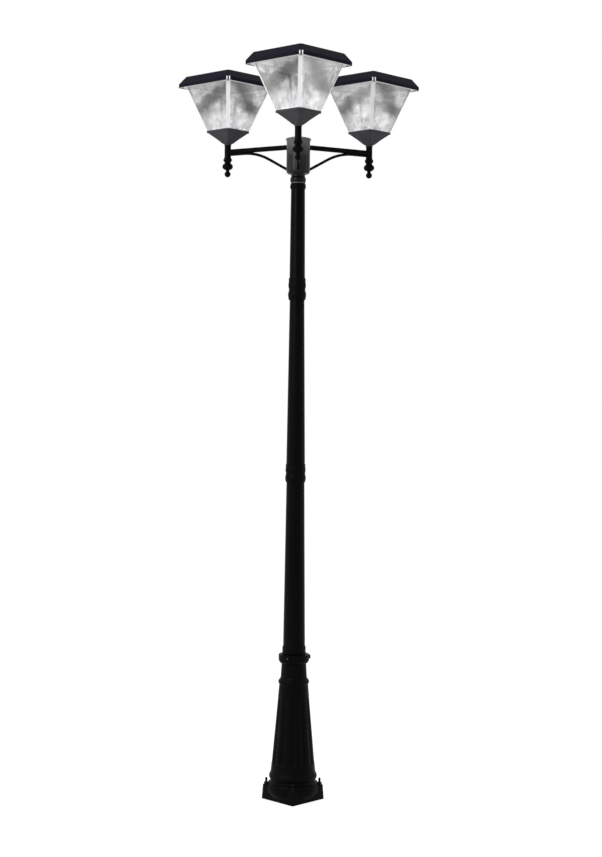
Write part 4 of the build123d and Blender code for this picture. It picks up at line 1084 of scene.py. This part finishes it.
# %%
def ring_plane(angle, radius, height):
    """Matrix whose local Z leads outwards at an angle round the post."""
    turn = math.radians(angle)
    outward = Vector((math.cos(turn), math.sin(turn), 0))
    across = Vector((0, 0, 1)).cross(outward)
    place = outward * radius + Vector((0, 0, height))
    columns = Matrix((across, Vector((0, 0, 1)), outward)).transposed().to_4x4()
    return Matrix.Translation(place) @ columns


SCREW_ANGLES = (-113, 7, 127)
SCREW_HEIGHT = 454 * MM
SCREW_FACE = 52.4 * MM  # distance of the screws' heads from the pole's axis
cup_outline = [p.xy for p in circle(2.6 * MM, 6)]
for number, angle in enumerate(SCREW_ANGLES):
    spot = ring_plane(angle, SCREW_FACE, SCREW_HEIGHT)
    add_piece(f"clamp_socket_{number}", *slab(cup_outline, -0.5 * MM, 0.05 * MM), "post",
              "washer_zinc", spot)
    rim = lathe([(3.1 * MM, 0), (5.6 * MM, 0), (5.4 * MM, 0.35 * MM), (3.3 * MM, 0.35 * MM)], 32)
    add_piece(f"clamp_rim_{number}", *rim, "post", "black_casting", spot)
print("clamping screws dressed:", len(SCREW_ANGLES))

# %% [markdown]
# ## Welds
# The arm's bar and brace are welded to the stem. A weld bead follows the curve where the two
# round tubes meet, which is found here from the two radii, and its surface ripples where the
# welder paused. The bead is painted over with the rest.

# %%
ARM_HEIGHT = 2086 * MM
BAR_RADIUS = 8 * MM
STEM_RADIUS = 10.5 * MM
WELD_RADIUS = 1.5 * MM
WELD_STEPS = 48
WELD_RIPPLES = 16
WELD_SWELL = 0.12  # share of the bead's radius


def saddle(angle):
    """Points where the level round bar of an arm meets its upright round stem."""
    turn = math.radians(angle)
    outward = Vector((math.cos(turn), math.sin(turn), 0))
    across = Vector((-outward.y, outward.x, 0))
    points = []
    for k in range(WELD_STEPS + 1):
        a = 2 * math.pi * k / WELD_STEPS
        shift = BAR_RADIUS * math.cos(a)
        depth = math.sqrt(STEM_RADIUS ** 2 - shift ** 2)
        points.append(outward * (REACH - depth) + across * shift
                      + Vector((0, 0, ARM_HEIGHT + BAR_RADIUS * math.sin(a))))
    return points


def rippled(points, radius, sides=8):
    """Tube round a closed run of points, whose thickness ripples like a weld."""
    vertices, faces = tube(points, radius, sides)
    for i, point in enumerate(points[:-1]):
        swell = 1 + WELD_SWELL * math.sin(2 * math.pi * WELD_RIPPLES * i / WELD_STEPS)
        for index in range(i * sides, (i + 1) * sides):
            vertices[index] = point + (vertices[index] - point) * swell
    return vertices, faces


for side, angle in SIDES.items():
    add_piece(f"{side}_arm_weld", *rippled(saddle(angle), WELD_RADIUS), "post",
              "black_casting", None, 60)
print("welds:", len(SIDES))

# %% [markdown]
# ## Measure and finish
# The last cell measures the box of the dressed model and prints its height.

# %%
bpy.context.view_layer.update()
low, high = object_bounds()
print("visual height:", round(high[2] - low[2], 4), "m")
